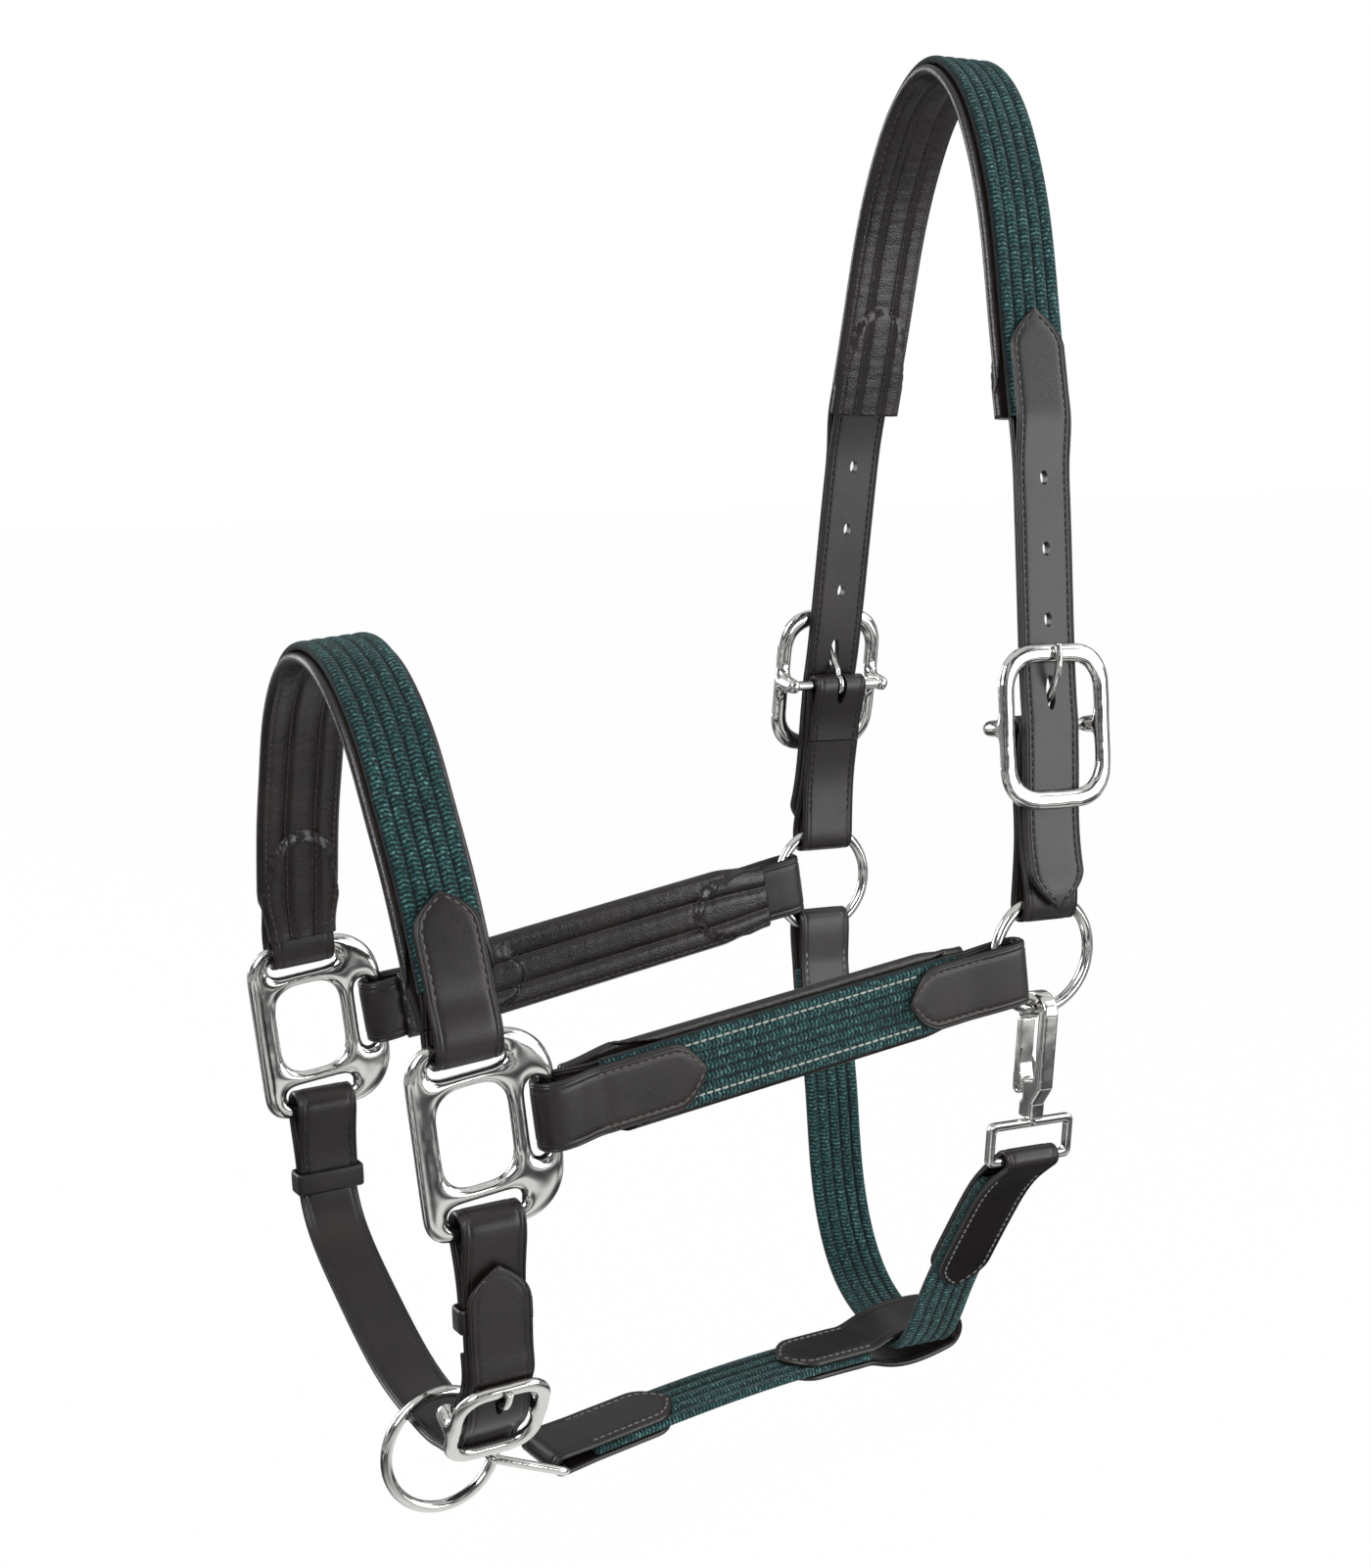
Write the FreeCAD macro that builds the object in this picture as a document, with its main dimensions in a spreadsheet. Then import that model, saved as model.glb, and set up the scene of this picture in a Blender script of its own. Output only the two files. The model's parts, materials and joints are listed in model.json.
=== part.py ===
import FreeCAD, Part
import math
import os

Vector = FreeCAD.Vector
Rotation = FreeCAD.Rotation
Placement = FreeCAD.Placement

# Leather headcollar for a horse. Origin: the underside of the crown at its top,
# where the poll or a peg carries it. +Z up, -Y towards the nose, +X the near (left) side.
os.makedirs("parts", exist_ok=True)
doc = FreeCAD.newDocument("headcollar")

# ---------------------------------------------------------------- driving sizes
driving = [
    # layout of the metal
    ("sideSpan", 163.0, "distance between the near and the far ring, and between the squares"),
    ("ringDrop", 342.0, "side ring centres below the crown rest"),
    ("ringAhead", 9.0, "side ring centres ahead of the crown rest"),
    ("squareDrop", 378.0, "square centres below the crown rest"),
    ("squareAhead", 254.0, "square centres ahead of the crown rest"),
    ("squareTilt", 7.0, "degrees the squares lean with the cheek straps"),
    ("noseTilt", 5.0, "degrees the noseband leans forward"),
    ("noseHeight", 133.0, "top of the noseband above the squares' top bars"),
    ("chinTilt", 2.0, "degrees the chin strap leans back"),
    ("crownShoulder", 59.0, "half width of the crown where its webbing starts"),
    ("shoulderDrop", 135.0, "that place below the crown rest"),
    # leather, webbing and padding
    ("leather", 2.4, "one ply of strap leather"),
    ("billetPly", 1.6, "one of the two plies of a crown billet"),
    ("webbing", 3.4, "tubular webbing"),
    ("padding", 5.0, "padded lining"),
    ("plyGap", 0.25, "glue line between two layers"),
    ("strapWidth", 26.0, "chapes on the rings and squares"),
    ("billetWidth", 26.0, "crown billets"),
    ("webWidth", 28.0, "webbing of crown, noseband and cheeks"),
    ("padWidth", 34.0, "padded linings"),
    ("throatWidth", 27.0, "webbing of the throat strap"),
    ("linkWidth", 25.0, "webbing of the link strap"),
    ("chinWidth", 25.0, "chin strap"),
    ("looseFit", 0.6, "play of a strap loop on its bar or ring"),
    ("squareFit", 1.5, "play of a strap loop on a square's bar"),
    ("tipLength", 15.0, "length of a pointed strap end"),
    # rings and wire
    ("ringWire", 4.5, "wire of the three rings"),
    ("ringOuter", 50.0, "outer diameter of the three rings"),
    ("deeWire", 3.6, "wire of the link dee"),
    ("deeNarrow", 14.0, "short side of the link dee"),
    ("deeWide", 32.0, "long side of the link dee"),
    ("deeLength", 31.0, "link dee from side to side"),
    # squares
    ("plate", 5.0, "thickness of a square"),
    ("holeWide", 27.5, "centre hole, along the cheek"),
    ("holeTall", 36.0, "centre hole, across the cheek"),
    ("slotHeight", 7.0, "strap slots of a square"),
    ("slotLength", 30.0, "strap slots of a square"),
    ("squareBar", 6.0, "bars outside the slots"),
    ("squareWeb", 5.5, "metal between hole and slots"),
    ("squareFront", 10.0, "front bar of a square"),
    # crown buckles
    ("buckleRise", 90.0, "centre bar above the ring centre"),
    ("buckleWide", 54.0, "frame of a crown buckle"),
    ("buckleTall", 65.0, "frame of a crown buckle"),
    ("buckleRim", 8.0, "width of its rim"),
    ("buckleThick", 4.0, "thickness of its rim"),
    ("barSize", 4.0, "diameter of the centre bars"),
    ("tongueWire", 2.8, "tongue of a buckle"),
    # chin buckle
    ("chinBuckleWide", 39.0, "frame of the chin buckle"),
    ("chinBuckleTall", 39.0, "frame of the chin buckle"),
    ("chinBuckleRim", 5.5, "width of its rim"),
    # snap
    ("snapWide", 17.2, "hook of the snap, outside"),
    ("snapThick", 7.0, "snap from face to face"),
    ("snapArm", 4.7, "section of the hook and spine"),
    ("snapDrop", 47.0, "swivel eye's top bar below the ring wire"),
    ("eyeWide", 38.0, "swivel eye"),
    ("eyeTall", 15.0, "swivel eye between bar centres"),
    ("eyeWire", 3.4, "wire of the swivel eye"),
    ("runningFit", 0.08, "radial play of pins and swivels"),
]
sheet = doc.addObject("Spreadsheet::Sheet", "Sizes")
for row, (alias, value, note) in enumerate(driving, start=1):
    sheet.set(f"A{row}", alias)
    sheet.set(f"B{row}", str(value))
    sheet.set(f"C{row}", note)
    sheet.setAlias(f"B{row}", alias)
doc.recompute()


def size(alias):
    return float(sheet.get(alias))


# ---------------------------------------------------------------- frames
sidePlane = size("sideSpan") / 2
ringRadius = (size("ringOuter") - size("ringWire")) / 2
pollLean = -math.degrees(math.asin(size("ringAhead") / size("ringDrop")))
poll = Placement(Vector(0, 0, 0), Rotation(Vector(1, 0, 0), pollLean))
leather = size("leather")
gap = size("plyGap")
web = size("webbing")

parts = []


def keep(thing, label, place):
    thing.Label = label
    thing.Placement = place
    parts.append(thing)
    return thing


def plane(body, role):
    return next(item for item in body.Origin.OriginFeatures if item.Role == role)


def newSketch(body, name, role="XZ_Plane"):
    sketch = body.newObject("Sketcher::SketchObject", name)
    sketch.AttachmentSupport = (plane(body, role), "")
    sketch.MapMode = "FlatFace"
    return sketch


# ---------------------------------------------------------------- routes and bands
def flat(point):
    return Vector(point[0], point[1], 0)


def curve(points):
    spline = Part.BSplineCurve()
    spline.interpolate([flat(point) for point in points])
    return spline


def lane(route, offset, start, end, count=6):
    """Points beside a route, between two distances along it."""
    edge = route.toShape()
    found = []
    for step in range(count + 1):
        parameter = edge.getParameterByLength(start + (end - start) * step / max(count, 1))
        spot = edge.valueAt(parameter)
        along = edge.tangentAt(parameter)
        found.append((spot.x - along.y * offset, spot.y + along.x * offset))
    return found


def turn(centre, radius, first, last, count=6):
    """Points on a round bend about a bar, angles in degrees."""
    angles = [math.radians(first + (last - first) * step / count) for step in range(count + 1)]
    return [(centre[0] + radius * math.cos(angle), centre[1] + radius * math.sin(angle)) for angle in angles]


def offsetAt(offset, share):
    return offset(share) if callable(offset) else offset


def addBand(body, name, points, low, high, widthAlias, start=None, end=None):
    """Pad of a thin band that follows points, from offset low to offset high."""
    route = curve(points)
    length = route.length()
    begin = 0.0 if start is None else start
    finish = length if end is None else end
    count = round(min(90, max(30, length / 1.8)))
    shares = [step / count for step in range(count + 1)]
    edge = route.toShape()
    sides = ([], [])
    for share in shares:
        parameter = edge.getParameterByLength(begin + (finish - begin) * share)
        spot = edge.valueAt(parameter)
        along = edge.tangentAt(parameter)
        normal = Vector(-along.y, along.x, 0)
        sides[0].append(spot + normal * offsetAt(low, share))
        sides[1].append(spot + normal * offsetAt(high, share))
    inner = Part.BSplineCurve()
    inner.interpolate(sides[0])
    outer = Part.BSplineCurve()
    outer.interpolate(sides[1])
    sketch = newSketch(body, name + "Profile")
    sketch.addGeometry([
        inner,
        Part.LineSegment(sides[0][-1], sides[1][-1]),
        outer,
        Part.LineSegment(sides[1][0], sides[0][0]),
    ])
    pad = body.newObject("PartDesign::Pad", name)
    pad.Profile = sketch
    pad.Midplane = True
    pad.setExpression("Length", f"Sizes.{widthAlias}")
    sketch.Visibility = False
    return pad


def cutThrough(body, name, sketch, centre=0.0, depth=400.0):
    """Cut both ways from the sketch's plane, moved by centre along its normal."""
    sketch.AttachmentOffset = Placement(Vector(0, 0, centre), Rotation())
    pocket = body.newObject("PartDesign::Pocket", name)
    pocket.Profile = sketch
    pocket.Midplane = True
    pocket.Length = depth
    return pocket


def slotCut(body, name, role, width, low, high, centre=0.0, depth=400.0):
    """Cut a slot with round ends across a strap, from low to high along it."""
    sketch = newSketch(body, name + "Outline", role)
    radius = width / 2

    def place(across, distance):
        return Vector(across, distance, 0) if role == "YZ_Plane" else Vector(distance, across, 0)

    sketch.addGeometry([
        Part.LineSegment(place(radius, low + radius), place(radius, high - radius)),
        Part.Arc(place(radius, high - radius), place(0, high), place(-radius, high - radius)),
        Part.LineSegment(place(-radius, high - radius), place(-radius, low + radius)),
        Part.Arc(place(-radius, low + radius), place(0, low), place(radius, low + radius)),
    ])
    return cutThrough(body, name, sketch, centre, depth)


def pointTip(body, name, role, width, root, tip, centre=0.0, depth=400.0):
    """Cut both corners of a strap end to a gothic point; root and tip lie along the strap."""
    sketch = newSketch(body, name + "Corners", role)
    along = role == "YZ_Plane"
    away = 1 if tip > root else -1

    def place(across, distance):
        return Vector(across, distance, 0) if along else Vector(distance, across, 0)

    for side in (1, -1):
        edge = place(side * width / 2, root)
        middle = place(side * width * 0.36, root + (tip - root) * 0.5)
        point = place(0, tip)
        far = place(0, tip + away * 4)
        corner = place(side * (width / 2 + 3), tip + away * 4)
        wide = place(side * (width / 2 + 3), root)
        sketch.addGeometry([
            Part.Arc(edge, middle, point),
            Part.LineSegment(point, far),
            Part.LineSegment(far, corner),
            Part.LineSegment(corner, wide),
            Part.LineSegment(wide, edge),
        ])
    return cutThrough(body, name, sketch, centre, depth)


def newBody(name):
    return doc.addObject("PartDesign::Body", name)


def hairpin(points, wrap, hold, settle, lap, tip, tipInner=None):
    """Centre line of a strap end folded round a bar at the first of points.

    The plies stay wrap apart from the centre line up to hold, come in to lap at settle
    and run on to their tips.
    """
    route = curve(points)
    middle = (hold + settle) / 2
    heading = route.tangent(route.FirstParameter)[0]
    facing = math.degrees(math.atan2(heading.y, heading.x))
    reach = tip if tipInner is None else tipInner
    left = lane(route, lap, reach, settle, 8)
    left += lane(route, (lap + wrap) / 2, middle, middle, 0)
    left += lane(route, wrap, hold, hold, 0)
    right = lane(route, -wrap, hold, hold, 0)
    right += lane(route, -(lap + wrap) / 2, middle, middle, 0)
    right += lane(route, -lap, settle, tip, 8)
    return left + turn(points[0], wrap, facing + 90, facing + 270) + right


def mixed(low, high, share):
    eased = max(0.0, min(1.0, share))
    eased = eased * eased * (3 - 2 * eased)
    return low + (high - low) * eased


def liningOffset(length, lapStart, lapEnd, thin, thick, rise=8.0):
    """Offset of a lining that lies on the webbing and bulges over the laps at both ends."""

    def offset(share):
        distance = share * length
        front = mixed(1, 0, (distance - lapStart) / rise)
        back = mixed(1, 0, (length - lapEnd - distance) / rise)
        return thin + (thick - thin) * max(front, back)

    return offset


# ---------------------------------------------------------------- rings, crown and throat
ringZ = -math.hypot(size("ringDrop"), size("ringAhead"))
halfStrap = size("strapWidth") / 2
wrapRise = math.sqrt(ringRadius ** 2 - halfStrap ** 2)
ringWrap = size("ringWire") / 2 + size("looseFit") + leather / 2
ply = size("billetPly")
near = Placement()
far = Placement(Vector(0, 0, 0), Rotation(Vector(0, 0, 1), 180))
sides = (("near", near), ("far", far))

lineStart = Vector(sidePlane, 0, ringZ + 25)
lineEnd = Vector(size("crownShoulder"), 0, -size("shoulderDrop"))
lineLength = (lineEnd - lineStart).Length
sideAlong = (lineEnd - lineStart).normalize()
sideOut = Vector(sideAlong.z, 0, -sideAlong.x)
sideTurn = math.degrees(math.atan2(sideAlong.x, sideAlong.z))


def side(rise, out):
    """Place beside the crown's side: rise above the ring centre, out from the strap."""
    if rise <= 25:
        return (sidePlane + out, ringZ + rise)
    spot = lineStart + sideAlong * (rise - 25) + sideOut * out
    return (spot.x, spot.z)


def makeRing(label, place):
    ring = doc.addObject("Part::Torus", label)
    ring.setExpression("Radius1", "(Sizes.ringOuter - Sizes.ringWire) / 2")
    ring.setExpression("Radius2", "Sizes.ringWire / 2")
    return keep(ring, label, place)


def makeBuckle(prefix, place, wide, tall, rim, rise):
    """Frame with two lugs, centre bar and tongue; the bar's centre is the origin.

    X points away from the strap, Z along it to the tongue's tip, and rise lifts the frame.
    """
    thick = size("buckleThick")
    bar = size("barSize")
    frame = newBody(prefix + "_frame")
    outline = newSketch(frame, prefix + "Outline", "YZ_Plane")
    outline.AttachmentOffset = Placement(Vector(0, 0, rise), Rotation())
    for half, high, corner in (
        (wide / 2, tall / 2, wide * 0.3),
        (wide / 2 - rim, tall / 2 - rim, wide * 0.3 - rim * 0.8),
    ):
        outline.addGeometry(roundedBox(half, high, corner))
    rimPad = frame.newObject("PartDesign::Pad", prefix + "Rim")
    rimPad.Profile = outline
    rimPad.Midplane = True
    rimPad.setExpression("Length", "Sizes.buckleThick")
    doc.recompute()
    soft = frame.newObject("PartDesign::Fillet", prefix + "Soft")
    soft.Base = (rimPad, faceEdges(rimPad.Shape, "x"))
    soft.Radius = min(thick, rim) * 0.35
    lugAt = wide / 2 - rim / 2
    lugRadius = bar / 2 + 1.6
    lugs = newSketch(frame, prefix + "Lugs", "YZ_Plane")
    lugs.AttachmentOffset = Placement(Vector(0, 0, (rise - lugRadius) / 2), Rotation())
    for edge in (-lugAt, lugAt):
        lugs.addGeometry(Part.Circle(Vector(edge, 0, 0), Vector(0, 0, 1), lugRadius))
    lugPad = frame.newObject("PartDesign::Pad", prefix + "Ears")
    lugPad.Profile = lugs
    lugPad.Midplane = True
    lugPad.Length = rise + lugRadius
    bore = newSketch(frame, prefix + "Bore", "XZ_Plane")
    bore.addGeometry(Part.Circle(Vector(0, 0, 0), Vector(0, 0, 1), bar / 2 + 0.02))
    cutThrough(frame, prefix + "BarHole", bore, 0.0, 2 * lugAt + lugRadius)
    keep(frame, prefix + "_frame", place)

    rod = doc.addObject("Part::Cylinder", prefix + "_bar")
    rod.setExpression("Radius", "Sizes.barSize / 2")
    rod.Height = 2 * lugAt + lugRadius - 0.2
    lay = Placement(Vector(0, -(lugAt + lugRadius / 2 - 0.1), 0), Rotation(Vector(1, 0, 0), -90))
    keep(rod, prefix + "_bar", place * lay)

    wire = size("tongueWire")
    eyeRadius = bar / 2 + 0.2 + wire / 2
    eye = doc.addObject("Part::Torus", prefix + "Eye")
    eye.Radius1 = eyeRadius
    eye.Radius2 = wire / 2
    eye.Placement = Placement(Vector(0, 0, 0), Rotation(Vector(1, 0, 0), 90))
    rest = rise + thick / 2 + wire / 2 + 0.2
    reach = tall / 2 - rim / 2
    spine = Part.BSplineCurve()
    spine.interpolate(
        [
            Vector(0, 0, eyeRadius),
            Vector(rest * 0.2, 0, eyeRadius + reach * 0.16),
            Vector(rest * 0.9, 0, reach - rim * 1.1),
            Vector(rest, 0, reach - rim * 0.55),
            Vector(rest, 0, reach + rim * 0.45),
        ],
        InitialTangent=Vector(0, 0, 1),
        FinalTangent=Vector(0, 0, 1),
    )
    path = Part.Wire(spine.toShape())
    ring = Part.Wire(Part.Circle(Vector(0, 0, eyeRadius), Vector(0, 0, 1), wire / 2).toShape())
    shank = doc.addObject("Part::Feature", prefix + "Shank")
    shank.Shape = path.makePipeShell([ring], True, False)
    tongue = doc.addObject("Part::Fuse", prefix + "_tongue")
    tongue.Base = eye
    tongue.Tool = shank
    keep(tongue, prefix + "_tongue", place)
    return rest


def roundedBox(half, high, corner):
    """Lines and arcs of a rounded rectangle about the sketch's origin."""
    straight = high - corner
    level = half - corner
    bend = corner * (1 - math.sqrt(0.5))
    edges = []
    for right, top in ((1, 1), (-1, 1), (-1, -1), (1, -1)):
        upright = Vector(right * half, top * straight, 0)
        middle = Vector(right * (half - bend), top * (high - bend), 0)
        flatEnd = Vector(right * level, top * high, 0)
        edges.append(Part.Arc(upright, middle, flatEnd))
    edges.append(Part.LineSegment(Vector(half, -straight, 0), Vector(half, straight, 0)))
    edges.append(Part.LineSegment(Vector(level, high, 0), Vector(-level, high, 0)))
    edges.append(Part.LineSegment(Vector(-half, straight, 0), Vector(-half, -straight, 0)))
    edges.append(Part.LineSegment(Vector(-level, -high, 0), Vector(level, -high, 0)))
    return edges


def rounded(corners, radii):
    """Arcs and lines of a closed outline with each corner rounded."""
    bends = []
    for index, (corner, radius) in enumerate(zip(corners, radii)):
        before = (corners[index - 1] - corner).normalize()
        after = (corners[(index + 1) % len(corners)] - corner).normalize()
        half = before.getAngle(after) / 2
        centre = corner + (before + after).normalize() * (radius / math.sin(half))
        pull = radius / math.tan(half)
        middle = centre + (corner - centre).normalize() * radius
        bends.append((corner + before * pull, middle, corner + after * pull))
    edges = []
    for index, (first, middle, last) in enumerate(bends):
        edges.append(Part.Arc(first, middle, last))
        edges.append(Part.LineSegment(last, bends[(index + 1) % len(bends)][0]))
    return edges


def faceEdges(shape, axis):
    """Names of the edges that bound the two flat faces square to an axis."""
    names = []
    for number, edge in enumerate(shape.Edges, start=1):
        box = edge.BoundBox
        span = {"x": box.XLength, "y": box.YLength, "z": box.ZLength}[axis]
        if span < 0.001:
            names.append(f"Edge{number}")
    return names


ringPlaces = {}
for name, mirror in sides:
    place = poll * mirror * Placement(Vector(sidePlane, 0, ringZ), Rotation(Vector(0, 1, 0), 90))
    makeRing("ring_" + name, place)

# chape of a crown buckle: two plies from the ring, the outer one round the centre bar
barRise = size("buckleRise")
barWrap = size("barSize") / 2 + 0.3 + leather / 2
ringHold = ringRadius + size("ringWire") / 2 + 1.0
plyOff = leather / 2 + gap + 0.05
chapeLine = [
    side(barRise - 28, -plyOff),
    side(barRise - 44, -plyOff),
    side(wrapRise + 16, -(plyOff + ringWrap) / 2),
    side(ringHold, -ringWrap),
]
chapeLine += turn(side(wrapRise, 0), ringWrap, 180, 360)
chapeLine += [
    side(ringHold, ringWrap),
    side(wrapRise + 16, (plyOff + ringWrap) / 2),
    side(barRise - 44, plyOff),
    side(barRise - 28, plyOff),
    side(barRise - 14, plyOff + 0.5),
    side(barRise - 6, barWrap * 0.86),
]
chapeLine += turn(side(barRise, 0), barWrap, -sideTurn, 180 - sideTurn)
chapeLine += [
    side(barRise - 6, -barWrap * 0.86),
    side(barRise - 14, -plyOff - 0.4),
    side(barRise - 22, -plyOff),
]
tongueSlot = size("tongueWire") + 2.0

# billet: two plies over the chape, under the buckle's rim, parting round the webbing
cover = leather + gap + ply + 0.1
eyeReach = size("barSize") / 2 + 0.2 + size("tongueWire")
billetOut = plyOff + cover
barOut = eyeReach + 0.3 + ply + 0.05
billetWay = [
    (wrapRise + 1, ringWrap + cover + 0.1),
    (ringHold + 0.5, ringWrap + cover + 0.05),
    (wrapRise + 16, (plyOff + ringWrap) / 2 + cover + 0.1),
    (barRise - 44, billetOut),
    (barRise - 28, billetOut),
    (barRise - 14, billetOut + 0.7),
    (barRise - 5, barOut - 0.2),
    (barRise, barOut),
    (barRise + 5, barOut - 0.3),
    (barRise + 14, billetOut + 0.3),
    (barRise + 28, billetOut),
    (barRise + 50, billetOut),
    (lineLength + 25 - 30, billetOut),
]
apex = size("padding") + gap + web / 2
archShape = ((0.935, 0.696), (0.787, 0.435), (0.575, 0.212), (0.305, 0.058))
webStart = side(lineLength + 27, billetOut)
crownHalf = [webStart]
crownHalf += [
    (size("crownShoulder") * across, apex - (size("shoulderDrop") + apex) * down)
    for across, down in archShape
]
crownLine = crownHalf + [(0, apex)] + [(-x, z) for x, z in reversed(crownHalf)]
crownRoute = curve(crownLine)
crownLap = 42.0
lapOut = web / 2 + gap + ply / 2
rimRise = billetOut + ply + 0.3 + size("buckleThick") / 2

for name, mirror in sides:
    place = poll * mirror
    chape = newBody("crown_chape_" + name)
    addBand(chape, "Plies" + name, chapeLine, -leather / 2, leather / 2, "strapWidth")
    slotCut(
        chape, "TongueSlot" + name, "YZ_Plane", tongueSlot,
        side(barRise - 8, 0)[1], side(barRise + barWrap + 4, 0)[1],
    )
    keep(chape, "crown_chape_" + name, place)

    for layer, sign in (("outer", 1), ("inner", -1)):
        body = newBody(f"billet_{layer}_{name}")
        points = [side(rise, out + sign * (ply + 0.1) / 2) for rise, out in billetWay]
        points.append(side(lineLength + 25 - 15, billetOut + sign * (ply / 2 + 0.35)))
        points += lane(crownRoute, -sign * lapOut, 0, crownLap, 6)
        addBand(body, f"Ply{layer}{name}", points, -ply / 2, ply / 2, "billetWidth")
        tipLow = points[0][1]
        pointTip(
            body, f"LowTip{layer}{name}", "YZ_Plane", size("billetWidth"),
            tipLow + size("tipLength"), tipLow,
        )
        tipHigh = points[-1][1]
        pointTip(
            body, f"HighTip{layer}{name}", "YZ_Plane", size("billetWidth"),
            tipHigh - size("tipLength"), tipHigh,
        )
        slotCut(
            body, f"TongueHole{layer}{name}", "YZ_Plane", size("tongueWire") + 0.9,
            side(barRise + 7.5, 0)[1], side(barRise + 20, 0)[1],
        )
        for number in range(1, 4):
            hole = side(barRise + 14 + 27.5 * number, 0)[1]
            slotCut(
                body, f"Hole{number}{layer}{name}", "YZ_Plane", 3.6,
                hole - 2.8, hole + 2.8,
            )
        keep(body, f"billet_{layer}_{name}", place)

    barSpot = side(barRise, 0)
    buckle = place * Placement(Vector(barSpot[0], 0, barSpot[1]), Rotation(Vector(0, 1, 0), sideTurn))
    makeBuckle(
        "buckle_" + name, buckle, size("buckleWide"), size("buckleTall"),
        size("buckleRim"), rimRise,
    )

crownWeb = newBody("crown_webbing")
addBand(crownWeb, "CrownWeb", crownLine, -web / 2, web / 2, "webWidth")
keep(crownWeb, "crown_webbing", poll)
crownLength = crownRoute.length()
liningThin = web / 2 + gap
liningThick = liningThin + ply + gap
crownInner = liningOffset(crownLength, crownLap + 2, crownLap + 2, liningThin, liningThick)
crownPad = newBody("crown_lining")
addBand(
    crownPad, "CrownLining", crownLine, crownInner,
    lambda share: crownInner(share) + size("padding"), "padWidth",
)
keep(crownPad, "crown_lining", poll)

# ---------------------------------------------------------------- throat strap and snap
snapLean = 2.7
snapSpot = Vector(sidePlane, 0, ringZ - ringRadius)
snapPlace = poll * Placement(snapSpot, Rotation(Vector(0, 1, 0), snapLean))
eyeBarDown = size("snapDrop") + size("eyeTall")
eyeBar = Placement(snapSpot, Rotation(Vector(0, 1, 0), snapLean)).multVec(Vector(0, 0, -eyeBarDown))
throatDrop = 187.0
throatShape = (
    (-0.985, 0.18), (-0.935, 0.30), (-0.828, 0.497), (-0.742, 0.695), (-0.626, 0.834),
    (-0.44, 0.936), (-0.22, 0.984), (-0.037, 1.0), (0.11, 1.0), (0.21, 0.955),
    (0.30, 0.875), (0.43, 0.765), (0.63, 0.62), (0.785, 0.524),
)
throatLine = [(-sidePlane, ringZ - wrapRise)]
throatLine += [(sidePlane * across, ringZ - throatDrop * down) for across, down in throatShape]
throatLine += [(eyeBar.x, eyeBar.z)]
throatRoute = curve(throatLine)
throatLength = throatRoute.length()
throatBack = list(reversed(throatLine))
lapBoth = web / 2 + gap + leather / 2
eyeWrap = size("eyeWire") / 2 + size("looseFit") + leather / 2

throatWeb = newBody("throat_webbing")
addBand(
    throatWeb, "ThroatWeb", throatLine, -web / 2, web / 2, "throatWidth",
    start=22.0, end=throatLength - 18.0,
)
keep(throatWeb, "throat_webbing", poll)

farEnd = newBody("throat_chape_far")
addBand(
    farEnd, "ThroatFar", hairpin(throatLine, ringWrap, 9, 20, lapBoth, 44),
    -leather / 2, leather / 2, "strapWidth",
)
farTip = lane(throatRoute, 0, 44, 44, 0)[0][1]
pointTip(farEnd, "ThroatFarTip", "YZ_Plane", size("strapWidth"), farTip + size("tipLength"), farTip)
keep(farEnd, "throat_chape_far", poll)

nearEnd = newBody("throat_chape_near")
addBand(
    nearEnd, "ThroatNear", hairpin(throatBack, eyeWrap, 2, 15, lapBoth, 84),
    -leather / 2, leather / 2, "strapWidth",
)
nearTip = lane(curve(throatBack), 0, 84, 84, 0)[0][1]
pointTip(
    nearEnd, "ThroatNearTip", "YZ_Plane", size("strapWidth"),
    nearTip + size("tipLength"), nearTip,
)
keep(nearEnd, "throat_chape_near", poll)

# snap: hook and spine in one casting, a fork ended gate on a pin, a leaf spring
arm = size("snapArm")
hookOut = size("snapWide") / 2
hookIn = hookOut - arm
barrel = 4.2
barrelEnd = -(size("snapDrop") - size("eyeWire") / 2 - 0.4)
snap = newBody("snap_body")
hookSketch = newSketch(snap, "HookOutline")
outlinePoints = [
    Vector(hookOut, -1, 0), Vector(hookOut, -31, 0), Vector(barrel, -38, 0),
    Vector(barrel, barrelEnd, 0), Vector(-barrel, barrelEnd, 0), Vector(-barrel, -39, 0),
    Vector(-2.6, -37.4, 0), Vector(-2.6, -29, 0), Vector(hookIn - 1, -27.5, 0), Vector(hookIn, -26, 0),
    Vector(hookIn, -1, 0),
]
for first, second in zip(outlinePoints, outlinePoints[1:]):
    hookSketch.addGeometry(Part.LineSegment(first, second))
hookSketch.addGeometry([
    Part.Arc(Vector(hookIn, -1, 0), Vector(0, hookIn - 1, 0), Vector(-hookIn, -1, 0)),
    Part.LineSegment(Vector(-hookIn, -1, 0), Vector(-hookIn, -5, 0)),
    Part.LineSegment(Vector(-hookIn, -5, 0), Vector(-hookOut, -5, 0)),
    Part.LineSegment(Vector(-hookOut, -5, 0), Vector(-hookOut, -1, 0)),
    Part.Arc(Vector(-hookOut, -1, 0), Vector(0, hookOut - 1, 0), Vector(hookOut, -1, 0)),
])
hookPad = snap.newObject("PartDesign::Pad", "Hook")
hookPad.Profile = hookSketch
hookPad.Midplane = True
hookPad.setExpression("Length", "Sizes.snapThick")
doc.recompute()
hookSoft = snap.newObject("PartDesign::Fillet", "HookSoft")
hookSoft.Base = (hookPad, faceEdges(hookPad.Shape, "y"))
hookSoft.Radius = 1.1
pinSpot = Vector(-6.2, -33.5, 0)
pinRadius = 1.1
lugSketch = newSketch(snap, "PinLug")
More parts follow.
